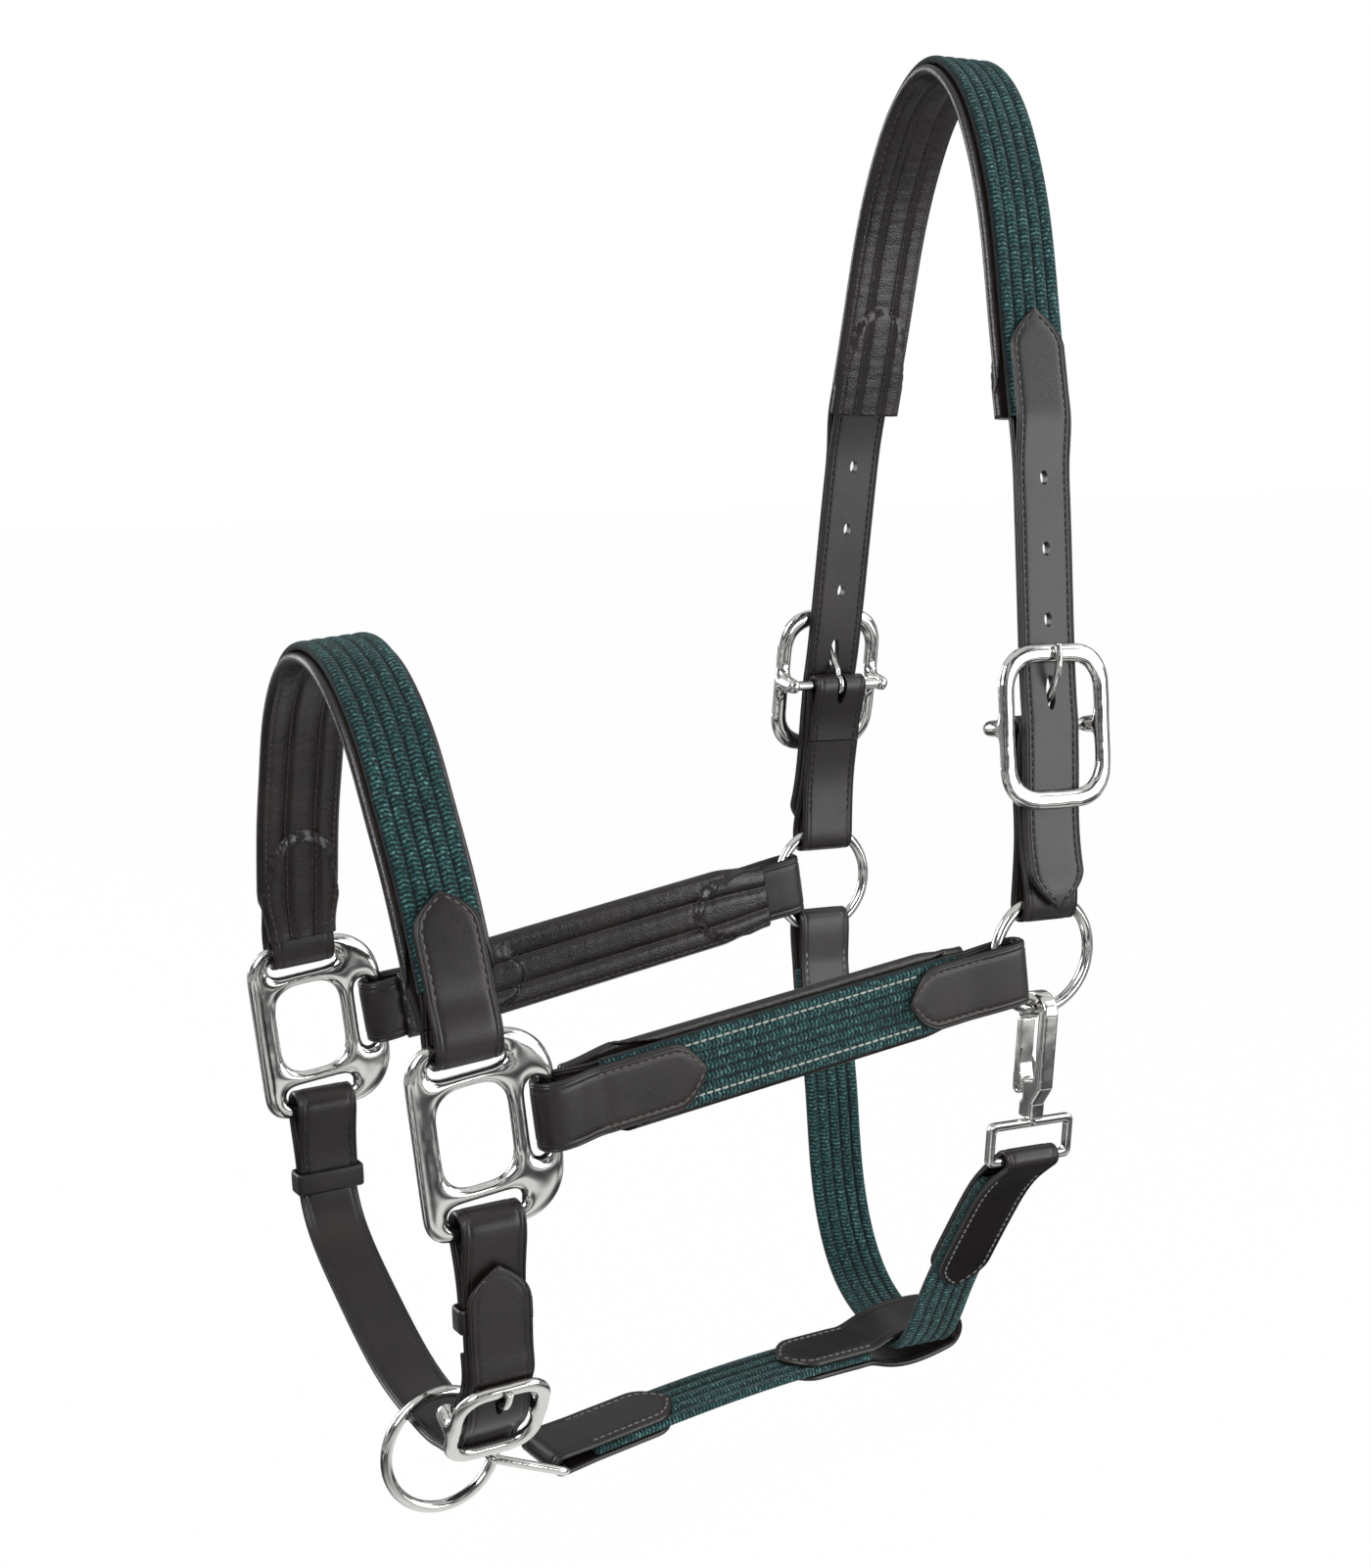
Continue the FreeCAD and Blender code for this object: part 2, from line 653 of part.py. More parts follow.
lugSketch.addGeometry([
    Part.LineSegment(Vector(-2.0, -30.9, 0), pinSpot + Vector(0, 2.6, 0)),
    Part.Arc(pinSpot + Vector(0, 2.6, 0), pinSpot + Vector(-2.6, 0, 0), pinSpot + Vector(0, -2.6, 0)),
    Part.LineSegment(pinSpot + Vector(0, -2.6, 0), Vector(-2.0, -36.1, 0)),
    Part.LineSegment(Vector(-2.0, -36.1, 0), Vector(-2.0, -30.9, 0)),
])
lugPad = snap.newObject("PartDesign::Pad", "Lug")
lugPad.Profile = lugSketch
lugPad.Midplane = True
lugPad.Length = 3.2
pinBore = newSketch(snap, "PinBore")
pinBore.addGeometry(Part.Circle(pinSpot, Vector(0, 0, 1), pinRadius + 0.02))
cutThrough(snap, "PinHole", pinBore)
studRadius = 2.0
studTop = barrelEnd + 7.0
well = newSketch(snap, "SwivelWell", "XY_Plane")
well.addGeometry(
    Part.Circle(Vector(0, 0, 0), Vector(0, 0, 1), studRadius + size("runningFit"))
)
cutThrough(snap, "Swivel", well, barrelEnd, 2 * (studTop - barrelEnd + 0.3))
keep(snap, "snap_body", snapPlace)

gate = newBody("snap_gate")
gateSketch = newSketch(gate, "GateOutline")
earRadius = 2.9
gateSketch.addGeometry([
    Part.LineSegment(Vector(-hookOut - 0.2, -5.45, 0), Vector(-hookOut + 2.6, -5.45, 0)),
    Part.LineSegment(Vector(-hookOut + 2.6, -5.45, 0), Vector(-hookOut + 2.8, -24, 0)),
    Part.LineSegment(Vector(-hookOut + 2.8, -24, 0), pinSpot + Vector(earRadius, 0, 0)),
    Part.Arc(
        pinSpot + Vector(earRadius, 0, 0), pinSpot + Vector(0, -earRadius, 0),
        pinSpot + Vector(-earRadius, 0, 0),
    ),
    Part.LineSegment(pinSpot + Vector(-earRadius, 0, 0), Vector(-hookOut - 0.2, -5.45, 0)),
])
gatePad = gate.newObject("PartDesign::Pad", "Gate")
gatePad.Profile = gateSketch
gatePad.Midplane = True
gatePad.Length = size("snapThick") - 0.2
fork = newSketch(gate, "ForkGap")
fork.addGeometry([
    Part.LineSegment(Vector(-14, -29.5, 0), Vector(2, -29.5, 0)),
    Part.LineSegment(Vector(2, -29.5, 0), Vector(2, -38, 0)),
    Part.LineSegment(Vector(2, -38, 0), Vector(-14, -38, 0)),
    Part.LineSegment(Vector(-14, -38, 0), Vector(-14, -29.5, 0)),
])
cutThrough(gate, "Fork", fork, 0.0, 3.8)
gateBore = newSketch(gate, "GateBore")
gateBore.addGeometry(Part.Circle(pinSpot, Vector(0, 0, 1), pinRadius + size("runningFit")))
cutThrough(gate, "GateHole", gateBore)
keep(gate, "snap_gate", snapPlace)

pin = doc.addObject("Part::Cylinder", "snap_pin")
pin.Radius = pinRadius
pin.Height = size("snapThick")
pinLay = Placement(Vector(pinSpot.x, -size("snapThick") / 2, pinSpot.y), Rotation(Vector(1, 0, 0), -90))
keep(pin, "snap_pin", snapPlace * pinLay)

leaf = newBody("snap_spring")
leafSketch = newSketch(leaf, "LeafOutline")
leafSketch.addGeometry([
    Part.LineSegment(Vector(1.7, -27.3, 0), Vector(-1.3, -19.0, 0)),
    Part.LineSegment(Vector(-1.3, -19.0, 0), Vector(-0.7, -18.8, 0)),
    Part.LineSegment(Vector(-0.7, -18.8, 0), Vector(2.4, -27.1, 0)),
    Part.LineSegment(Vector(2.4, -27.1, 0), Vector(1.7, -27.3, 0)),
])
leafPad = leaf.newObject("PartDesign::Pad", "Leaf")
leafPad.Profile = leafSketch
leafPad.Midplane = True
leafPad.Length = 3.0
keep(leaf, "snap_spring", snapPlace)

eye = newBody("snap_eye")
eyeSketch = newSketch(eye, "EyeOutline", "YZ_Plane")
eyeWire = size("eyeWire")
eyeMiddle = Vector(0, -(size("snapDrop") + size("eyeTall") / 2), 0)
for grow, corner in ((eyeWire / 2, 3.0), (-eyeWire / 2, 1.2)):
    for edge in roundedBox(size("eyeWide") / 2 + grow, size("eyeTall") / 2 + grow, corner):
        edge.translate(eyeMiddle)
        eyeSketch.addGeometry(edge)
eyePad = eye.newObject("PartDesign::Pad", "EyeLoop")
eyePad.Profile = eyeSketch
eyePad.Midplane = True
eyePad.setExpression("Length", "Sizes.eyeWire")
doc.recompute()
eyeSoft = eye.newObject("PartDesign::Fillet", "EyeSoft")
eyeSoft.Base = (eyePad, faceEdges(eyePad.Shape, "x"))
eyeSoft.Radius = 0.9
stud = newSketch(eye, "StudOutline", "XY_Plane")
stud.AttachmentOffset = Placement(Vector(0, 0, -size("snapDrop")), Rotation())
stud.addGeometry(Part.Circle(Vector(0, 0, 0), Vector(0, 0, 1), studRadius))
studPad = eye.newObject("PartDesign::Pad", "Stud")
studPad.Profile = stud
studPad.Length = studTop + size("snapDrop")
keep(eye, "snap_eye", snapPlace)

# ---------------------------------------------------------------- squares
halfHole = size("holeWide") / 2
highHole = size("holeTall") / 2
slotIn = highHole + size("squareWeb")
slotOut = slotIn + size("slotHeight")
squareTop = slotOut + size("squareBar")
cheekIn = halfHole + size("squareWeb") + 1
cheekOut = cheekIn + size("slotHeight")
squareRear = cheekOut + size("squareBar")
squareFace = halfHole + size("squareFront")
barTall = (slotOut + squareTop) / 2
barRear = (cheekOut + squareRear) / 2


def movedSlot(centre, halfLong, halfWide, upright):
    """Lines and arcs of a slot with round ends."""
    run = halfLong - halfWide
    if upright:
        corners = [(halfWide, -run), (halfWide, run), (-halfWide, run), (-halfWide, -run)]
        tips = [(0, halfLong), (0, -halfLong)]
    else:
        corners = [(run, halfWide), (-run, halfWide), (-run, -halfWide), (run, -halfWide)]
        tips = [(-halfLong, 0), (halfLong, 0)]
    spots = [centre + flat(corner) for corner in corners]
    ends = [centre + flat(tip) for tip in tips]
    return [
        Part.LineSegment(spots[0], spots[1]),
        Part.Arc(spots[1], ends[0], spots[2]),
        Part.LineSegment(spots[2], spots[3]),
        Part.Arc(spots[3], ends[1], spots[0]),
    ]


for name, sign in (("near", 1), ("far", -1)):
    square = newBody("square_" + name)
    outline = newSketch(square, "SquareOutline" + name, "YZ_Plane")
    outline.addGeometry(rounded(
        [
            Vector(-squareFace, squareTop, 0), Vector(squareRear - 1.5, squareTop, 0),
            Vector(squareRear, 0, 0), Vector(squareRear - 2, -squareTop, 0),
            Vector(-squareFace, -squareTop, 0),
        ],
        (12.0, 21.0, 60.0, 18.0, 9.5),
    ))
    outline.addGeometry(roundedBox(halfHole, highHole, 9.0))
    half = size("slotLength") / 2
    thin = size("slotHeight") / 2
    outline.addGeometry(movedSlot(Vector(0, (slotIn + slotOut) / 2, 0), half, thin, False))
    outline.addGeometry(movedSlot(Vector(0, -(slotIn + slotOut) / 2, 0), half, thin, False))
    outline.addGeometry(movedSlot(Vector((cheekIn + cheekOut) / 2, 0, 0), half, thin, True))
    plate = square.newObject("PartDesign::Pad", "Plate" + name)
    plate.Profile = outline
    plate.Midplane = True
    plate.setExpression("Length", "Sizes.plate")
    doc.recompute()
    soft = square.newObject("PartDesign::Fillet", "Soft" + name)
    soft.Base = (plate, faceEdges(plate.Shape, "x"))
    soft.Radius = 1.4
    spot = Vector(sign * sidePlane, -size("squareAhead"), -size("squareDrop"))
    keep(square, "square_" + name, Placement(spot, Rotation(Vector(1, 0, 0), size("squareTilt"))))

tilt = math.radians(size("squareTilt"))
squareWrap = 3.3 + size("squareFit") + leather / 2

# ---------------------------------------------------------------- noseband
noseSpot = Vector(
    0,
    -size("squareAhead") - barTall * math.sin(tilt),
    -size("squareDrop") + barTall * math.cos(tilt),
)
nose = Placement(noseSpot, Rotation(Vector(1, 0, 0), size("noseTilt")))
noseShape = (
    (0.993, 0.12), (0.945, 0.24), (0.83, 0.445), (0.705, 0.61),
    (0.61, 0.73), (0.435, 0.875), (0.225, 0.97),
)
noseHalf = [(sidePlane, 0)]
noseHalf += [(sidePlane * across, size("noseHeight") * up) for across, up in noseShape]
noseLine = noseHalf + [(0, size("noseHeight"))] + [(-x, z) for x, z in reversed(noseHalf)]
noseRoute = curve(noseLine)
noseLength = noseRoute.length()
noseLap = 54.0

noseWeb = newBody("nose_webbing")
addBand(
    noseWeb, "NoseWeb", noseLine, -web / 2, web / 2, "webWidth",
    start=21.0, end=noseLength - 21.0,
)
keep(noseWeb, "nose_webbing", nose)
lapThick = liningThin + leather + gap
noseInner = liningOffset(noseLength - 42.0, noseLap - 19, noseLap - 19, liningThin, lapThick)
nosePad = newBody("nose_lining")
addBand(
    nosePad, "NoseLining", noseLine, noseInner,
    lambda share: noseInner(share) + size("padding"), "padWidth",
    start=21.0, end=noseLength - 21.0,
)
keep(nosePad, "nose_lining", nose)
for name, mirror in sides:
    chape = newBody("nose_chape_" + name)
    addBand(
        chape, "NoseChape" + name, hairpin(noseLine, squareWrap, 5, 17, lapBoth, noseLap),
        -leather / 2, leather / 2, "strapWidth",
    )
    noseTip = lane(noseRoute, 0, noseLap, noseLap, 0)[0][1]
    pointTip(
        chape, "NoseTip" + name, "YZ_Plane", size("strapWidth"),
        noseTip - size("tipLength"), noseTip,
    )
    keep(chape, "nose_chape_" + name, nose * mirror)

# ---------------------------------------------------------------- cheek straps
ringRoom = (ringRadius - size("ringWire") / 2 - halfStrap) / 7.5
for name, sign, below in (("near", 1, 4.0 * ringRoom), ("far", -1, -2.0 * ringRoom)):
    barSpot = Vector(
        sign * sidePlane,
        -size("squareAhead") + barRear * math.cos(tilt),
        -size("squareDrop") + barRear * math.sin(tilt),
    )
    ringSpot = Vector(sign * sidePlane, -size("ringAhead"), -size("ringDrop"))
    heading = (ringSpot - Vector(0, 0, below) - barSpot).normalize()
    outward = Vector(sign, 0, 0)
    across = outward.cross(heading)
    cheek = Placement(barSpot, Rotation(heading, across, outward, "ZXY"))
    offLine = abs((ringSpot - barSpot).dot(across))
    ringAt = (ringSpot - barSpot).dot(heading)
    inside = math.sqrt((ringRadius - size("ringWire") / 2) ** 2 - (halfStrap + offLine) ** 2)
    wrapAt = ringAt - inside - size("ringWire") / 2 - size("looseFit") + 0.25
    cheekLine = [(wrapAt * step / 6, 0) for step in range(7)]
    cheekBack = list(reversed(cheekLine))
    cheekHold = ringHold - (ringAt - wrapAt)
    webFrom = 21.0
    webTo = wrapAt - cheekHold - 16
    frontLap = 62.0
    rearLap = 52.0
    body = newBody("cheek_webbing_" + name)
    addBand(
        body, "CheekWeb" + name, cheekLine, -web / 2, web / 2, "webWidth",
        start=webFrom, end=webTo,
    )
    keep(body, "cheek_webbing_" + name, cheek)
    inner = liningOffset(
        webTo - webFrom, frontLap - webFrom + 2, rearLap - (wrapAt - webTo) + 2, liningThin, lapThick,
    )
    body = newBody("cheek_lining_" + name)
    addBand(
        body, "CheekLining" + name, cheekLine,
        lambda share: -inner(share) - size("padding"), lambda share: -inner(share), "padWidth",
        start=webFrom, end=webTo,
    )
    keep(body, "cheek_lining_" + name, cheek)
    body = newBody("cheek_front_chape_" + name)
    addBand(
        body, "CheekFront" + name, hairpin(cheekLine, squareWrap, 5, 17, lapBoth, frontLap),
        -leather / 2, leather / 2, "strapWidth",
    )
    pointTip(
        body, "CheekFrontTip" + name, "XY_Plane", size("strapWidth"),
        frontLap - size("tipLength"), frontLap,
    )
    keep(body, "cheek_front_chape_" + name, cheek)
    body = newBody("cheek_rear_chape_" + name)
    addBand(
        body, "CheekRear" + name,
        hairpin(cheekBack, ringWrap, cheekHold, cheekHold + 12, lapBoth, rearLap),
        -leather / 2, leather / 2, "strapWidth",
    )
    pointTip(
        body, "CheekRearTip" + name, "XY_Plane", size("strapWidth"),
        wrapAt - rearLap + size("tipLength"), wrapAt - rearLap,
    )
    keep(body, "cheek_rear_chape_" + name, cheek)

# ---------------------------------------------------------------- chin strap, ring and buckle
chinSpot = Vector(
    0,
    -size("squareAhead") + barTall * math.sin(tilt),
    -size("squareDrop") - barTall * math.cos(tilt),
)
chin = Placement(chinSpot, Rotation(Vector(1, 0, 0), size("chinTilt")))
foldX = sidePlane
farFoldX = -sidePlane
buckleSpot = Vector(foldX - 5.5, 0, -70.3)
buckleLean = 30.0
strapUp = Vector(math.sin(math.radians(buckleLean)), 0, math.cos(math.radians(buckleLean)))
strapOut = Vector(strapUp.z, 0, -strapUp.x)


def atBuckle(up, out):
    spot = buckleSpot + strapUp * up + strapOut * out
    return (spot.x, spot.z)


chinBarOut = eyeReach + 0.3 + leather / 2
chinUnder = 3.3
chinRise = chinUnder + leather / 2 + 0.3 + size("buckleThick") / 2
hangX = 0.3497 * sidePlane
hangZ = -92.7
upperX = foldX + 2.7

nearStrap = newBody("chin_strap_near")
nearPoints = [(foldX - 0.5, -37), (foldX - 0.5, -29), (foldX - 1.7, -18), (foldX - 4.5, -8)]
nearPoints += turn((foldX, 0), squareWrap, 180, 0)
nearPoints += [(foldX + 4.9, -10), (foldX + 3.2, -20), (upperX, -34), (foldX + 2.9, -47)]
nearPoints += [atBuckle(16, 0.3), atBuckle(12, 0.6), atBuckle(7, 1.8)]
nearPoints += turn((buckleSpot.x, buckleSpot.z), barWrap, -buckleLean, -buckleLean - 180)
nearPoints += [atBuckle(7, -2.6), atBuckle(15, -3.0), (foldX - 0.6, -46)]
addBand(nearStrap, "ChinNear", nearPoints, -leather / 2, leather / 2, "chinWidth")
slotCut(
    nearStrap, "ChinTongueSlot", "YZ_Plane", tongueSlot,
    buckleSpot.z - barWrap - 3, buckleSpot.z + 9,
)
keep(nearStrap, "chin_strap_near", chin)

farStrap = newBody("chin_strap_far")
farPoints = [
    (farFoldX + 3.6, -34), (farFoldX + 3.3, -26), (farFoldX + 3.5, -17), (farFoldX + 5.0, -7),
]
farPoints += turn((farFoldX, 0), squareWrap, 0, 180)
farPoints += [
    (farFoldX - 4.9, -10), (farFoldX - 2.3, -20), (farFoldX - 0.7, -29), (farFoldX + 0.9, -37),
    (farFoldX + 4.5, -45), (farFoldX + 15.5, -56), (farFoldX + 33.5, -67),
    (-hangX, -77.5), (-2.0, -88), (hangX, hangZ), (foldX - 35.5, -93.2), (foldX - 22.5, -91.3),
    atBuckle(-19.5, chinUnder - 0.3), atBuckle(-14.2, chinUnder - 0.2),
    atBuckle(-7, chinBarOut - 1.4), atBuckle(0, chinBarOut), atBuckle(7, chinBarOut - 1.4),
    atBuckle(13.8, chinUnder - 0.1), atBuckle(19.5, chinUnder - 0.2),
    (foldX + 7.1, -47), (foldX + 7.4, -36), (foldX + 7.4, -24), (foldX + 7.2, -13),
]
addBand(farStrap, "ChinFar", farPoints, -leather / 2, leather / 2, "chinWidth")
pointTip(
    farStrap, "ChinTip", "YZ_Plane", size("chinWidth"), -13 - size("tipLength"), -13, sidePlane, 60.0,
)
slotCut(
    farStrap, "ChinTongueHole", "YZ_Plane", size("tongueWire") + 0.9,
    buckleSpot.z + 0.8, buckleSpot.z + 9.5, sidePlane, 60.0,
)
keep(farStrap, "chin_strap_far", chin)

chinBuckle = chin * Placement(buckleSpot, Rotation(Vector(0, 1, 0), buckleLean))
makeBuckle(
    "chin_buckle", chinBuckle, size("chinBuckleWide"), size("chinBuckleTall"),
    size("chinBuckleRim"), chinRise,
)

chinHalf = size("chinWidth") / 2
wireIn = ringRadius - size("ringWire") / 2
ringBelow = math.sqrt(wireIn ** 2 - chinHalf ** 2) - leather / 2 - 0.8
chinRingSpot = Vector(hangX, 0, hangZ - ringBelow)
chinRingPlace = chin * Placement(chinRingSpot, Rotation(Vector(0, 1, 0), 90))
makeRing("chin_ring", chinRingPlace)

keeperWall = 1.4
for name, low, high, bottom in (
    ("near", foldX - 0.5 - leather / 2, upperX + leather / 2, -37.0),
    ("far", farFoldX - 1.1 - leather / 2, farFoldX + 3.6 + leather / 2, -36.0),
):
    keeper = newBody("keeper_" + name)
    loop = newSketch(keeper, "KeeperOutline" + name, "XY_Plane")
    loop.AttachmentOffset = Placement(Vector(0, 0, bottom + 4.5), Rotation())
    middle = Vector((low + high) / 2, 0, 0)
    deep = (high - low) / 2 + 0.4
    wide = chinHalf + 0.5
    for grow, corner in ((0, 0.8), (keeperWall, 1.8)):
        for edge in roundedBox(deep + grow, wide + grow, corner):
            edge.translate(middle)
            loop.addGeometry(edge)
    keeperPad = keeper.newObject("PartDesign::Pad", "Keeper" + name)
    keeperPad.Profile = loop
    keeperPad.Midplane = True
    keeperPad.Length = 9.0
    keep(keeper, "keeper_" + name, chin)

# ---------------------------------------------------------------- link strap and dee
deeHook = chin.multVec(chinRingSpot + Vector(0, 17.0, -5.0))
throatLow = poll.multVec(Vector(-3.0, 0, ringZ - throatDrop))
deeDrop = 9.5
deeSway = -4.5
deeRun = math.sqrt(size("deeLength") ** 2 - deeDrop ** 2 - deeSway ** 2)
deeWideSpot = deeHook + Vector(deeSway, deeRun, -deeDrop)
deeAlong = (deeWideSpot - deeHook).normalize()
linkRoll = math.radians(5)
rollAcross = Vector(-math.cos(linkRoll), 0, math.sin(linkRoll))
dee = Placement(deeHook, Rotation(deeAlong, rollAcross, Vector(0, 0, 1), "XYZ"))
narrow = size("deeNarrow") / 2
wideHalf = size("deeWide") / 2
reach = size("deeLength")
corners = [
    Vector(0, -narrow, 0), Vector(0, narrow, 0), Vector(reach, wideHalf, 0), Vector(reach, -wideHalf, 0),
]
deeBends = rounded(corners, (2.8, 2.8, 2.6, 2.6))
deePath = Part.Wire([piece.toShape() for piece in deeBends])
deeStart = deeBends[0].StartPoint
deeHeading = deeBends[-1].EndPoint - deeBends[-1].StartPoint
deeSection = Part.Wire(Part.Circle(deeStart, deeHeading, size("deeWire") / 2).toShape())
deeWire = doc.addObject("Part::Feature", "link_dee")
deeWire.Shape = deePath.makePipeShell([deeSection], True, False)
keep(deeWire, "link_dee", dee)

linkAlong = (throatLow - deeWideSpot).normalize()
link = Placement(deeWideSpot, Rotation(linkAlong, rollAcross, Vector(0, 0, 1), "XYZ"))
throatHalf = size("throatWidth") / 2
loopGap = web / 2 + 4.2
loopWrap = loopGap + leather / 2
linkRun = (throatLow - deeWideSpot).Length
loopEnd = linkRun + throatHalf + 2.5
linkLine = [(loopEnd * share, rise) for share, rise in (
    (0, 0), (0.15, 1.6), (0.3, 3.0), (0.45, 3.6), (0.6, 3.0), (0.72, 1.6), (0.82, 0.4), (0.91, 0), (1, 0),
)]
linkBack = list(reversed(linkLine))
linkHold = 2 * throatHalf + 4
deeWrap = size("deeWire") / 2 + size("looseFit") + leather / 2
linkFront = 60.0
linkRear = 88.0

linkWeb = newBody("link_webbing")
addBand(
    linkWeb, "LinkWeb", linkLine, -web / 2, web / 2, "linkWidth",
    start=16.0, end=curve(linkLine).length() - linkHold - 15,
)
keep(linkWeb, "link_webbing", link)
for label, points, wrap, hold, tip in (
    ("link_front_chape", linkLine, deeWrap, 2, linkFront),
    ("link_rear_chape", linkBack, loopWrap, linkHold, linkRear),
):
    body = newBody(label)
    addBand(
        body, label + "_fold", hairpin(points, wrap, hold, hold + 14, lapBoth, tip),
        -leather / 2, leather / 2, "linkWidth",
    )
    tipAt = lane(curve(points), 0, tip, tip, 0)[0][0]
    back = -1 if points is linkLine else 1
    pointTip(
        body, label + "_tip", "XY_Plane", size("linkWidth"), tipAt + back * size("tipLength"), tipAt,
    )
    keep(body, label, link)

# ---------------------------------------------------------------- check and write
doc.recompute()
for item in doc.Objects:
    if "Invalid" in item.State or "Error" in item.State:
        raise RuntimeError(f"{item.Name} failed: {item.State}")
for part in parts:
    if part.Shape.isNull() or not part.Shape.isValid():
        raise RuntimeError(f"{part.Label} has no valid solid")
for part in parts:
    part.Shape.exportStep(f"parts/{part.Label}.step")
print(len(parts), "parts written")
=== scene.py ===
import json
import math

import bmesh
import bpy
import numpy as np
from mathutils import Matrix, Vector


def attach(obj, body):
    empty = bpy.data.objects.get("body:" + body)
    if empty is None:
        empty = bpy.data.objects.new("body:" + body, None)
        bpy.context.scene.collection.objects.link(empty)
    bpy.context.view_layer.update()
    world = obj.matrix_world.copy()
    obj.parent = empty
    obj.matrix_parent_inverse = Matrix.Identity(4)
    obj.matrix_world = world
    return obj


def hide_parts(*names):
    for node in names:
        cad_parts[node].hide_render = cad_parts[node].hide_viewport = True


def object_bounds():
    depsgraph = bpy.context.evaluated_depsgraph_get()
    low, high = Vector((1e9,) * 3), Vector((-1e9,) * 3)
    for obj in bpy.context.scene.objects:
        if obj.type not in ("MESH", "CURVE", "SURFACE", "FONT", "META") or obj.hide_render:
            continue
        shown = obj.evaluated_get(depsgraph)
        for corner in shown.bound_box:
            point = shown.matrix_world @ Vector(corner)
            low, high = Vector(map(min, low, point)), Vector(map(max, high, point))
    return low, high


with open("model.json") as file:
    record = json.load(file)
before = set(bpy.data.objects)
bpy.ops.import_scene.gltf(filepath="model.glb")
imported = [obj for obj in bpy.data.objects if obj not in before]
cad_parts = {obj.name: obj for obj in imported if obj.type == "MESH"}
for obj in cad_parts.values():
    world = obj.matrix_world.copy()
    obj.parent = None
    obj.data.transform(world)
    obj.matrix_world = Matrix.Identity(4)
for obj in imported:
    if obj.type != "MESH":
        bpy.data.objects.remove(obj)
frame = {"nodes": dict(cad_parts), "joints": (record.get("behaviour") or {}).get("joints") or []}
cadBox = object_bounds()
print("frame loaded:", len(frame["nodes"]), "nodes")

scene = bpy.context.scene
mm = 0.001

# strap sections, in millimetres like every other size here
strapStuff = {
    "leather": 2.4,         # chapes, chin strap and keepers
    "ply": 1.6,             # each half of a billet
    "web": 3.4,             # braided webbing
    "pad": 5.0,             # lining with its filling
    "gap": 0.25,            # between one layer and the next
    "width": 26.0,          # leather straps
    "webWidth": 28.0,
    "padWidth": 34.0,
    "tip": 15.0,            # length of a pointed end
    "cords": 5,             # tubes side by side in the webbing
    "fineCords": 7,         # and in the flatter webbing of the cheek straps
}
playSizes = {
    "ring": 0.6,            # between a wire or bar and the strap round it
    "square": 1.5,
    "buckle": 0.3,
}
barSizes = {
    "square": 3.3,          # half of each bar's thickness
    "buckle": 2.0,
    "snap": 1.7,
    "dee": 1.8,
}
stitching = {"pitch": 3.3, "length": 2.4, "thick": 0.95, "inset": 3.1}

leather = strapStuff["leather"]
ply = strapStuff["ply"]
web = strapStuff["web"]
gap = strapStuff["gap"]
strapWidth = strapStuff["width"]
webWidth = strapStuff["webWidth"]
pointed = (strapStuff["tip"], strapStuff["tip"])


# places: each strap is drawn in a flat frame of its own, x and z, with y across it
def jointSpot(name):
    joint = next(item for item in frame["joints"] if item["name"] == name)
    return Vector(joint["pos_m"]) / mm


ringSpot = jointSpot("ring_near_turn")
chinRingSpot = jointSpot("chin_ring_turn")
sidePlane = ringSpot.x
ringSizes = {"radius": 22.75, "wire": 4.5}
ringRadius = ringSizes["radius"]
ringWire = ringSizes["wire"]
ringZ = -math.hypot(ringSpot.z, ringSpot.y)
squarePlace = {"ahead": 254.0, "drop": 378.0, "tilt": 7.0, "barTall": 33.5, "barRear": 30.25}
squareTilt = math.radians(squarePlace["tilt"])


def turned(degrees, axis, spot=(0, 0, 0)):
    return Matrix.Translation(spot) @ Matrix.Rotation(math.radians(degrees), 4, axis)


def barSpot(end, lean):
    # frame of the strap on the squares' top bar (end 1) or bottom bar (end -1)
    reach = end * squarePlace["barTall"]
    return turned(lean, "X", (
        0, -squarePlace["ahead"] - reach * math.sin(squareTilt), -squarePlace["drop"] + reach * math.cos(squareTilt),
    ))


poll = turned(-math.degrees(math.asin(ringSpot.y / ringSpot.z)), "X")
flip = turned(180, "Z")
bothSides = (("Near", Matrix.Identity(4)), ("Far", flip))
nose = barSpot(1, 5.0)
chin = barSpot(-1, 2.0)


# routes
def spline(points, fine=24):
    # natural cubic through the points, sampled finely
    spots = np.array(points, float)
    steps = np.linalg.norm(np.diff(spots, axis=0), axis=1)
    at = np.concatenate([[0], np.cumsum(steps)])
    count = len(spots)
    grid = np.zeros((count, count))
    push = np.zeros((count, 2))
    grid[0, 0] = grid[-1, -1] = 1
    for i in range(1, count - 1):
        grid[i, i - 1] = steps[i - 1]
        grid[i, i] = 2 * (steps[i - 1] + steps[i])
        grid[i, i + 1] = steps[i]
        push[i] = 6 * ((spots[i + 1] - spots[i]) / steps[i] - (spots[i] - spots[i - 1]) / steps[i - 1])
    bend = np.linalg.solve(grid, push)
    found = []
    for i in range(count - 1):
        h = steps[i]
        t = np.linspace(0, h, fine, endpoint=False)[:, None]
        found.append(
            bend[i] * (h - t) ** 3 / (6 * h) + bend[i + 1] * t ** 3 / (6 * h)
            + (spots[i] / h - bend[i] * h / 6) * (h - t)
            + (spots[i + 1] / h - bend[i + 1] * h / 6) * t
        )
    found.append(spots[-1:])
    return np.concatenate(found)


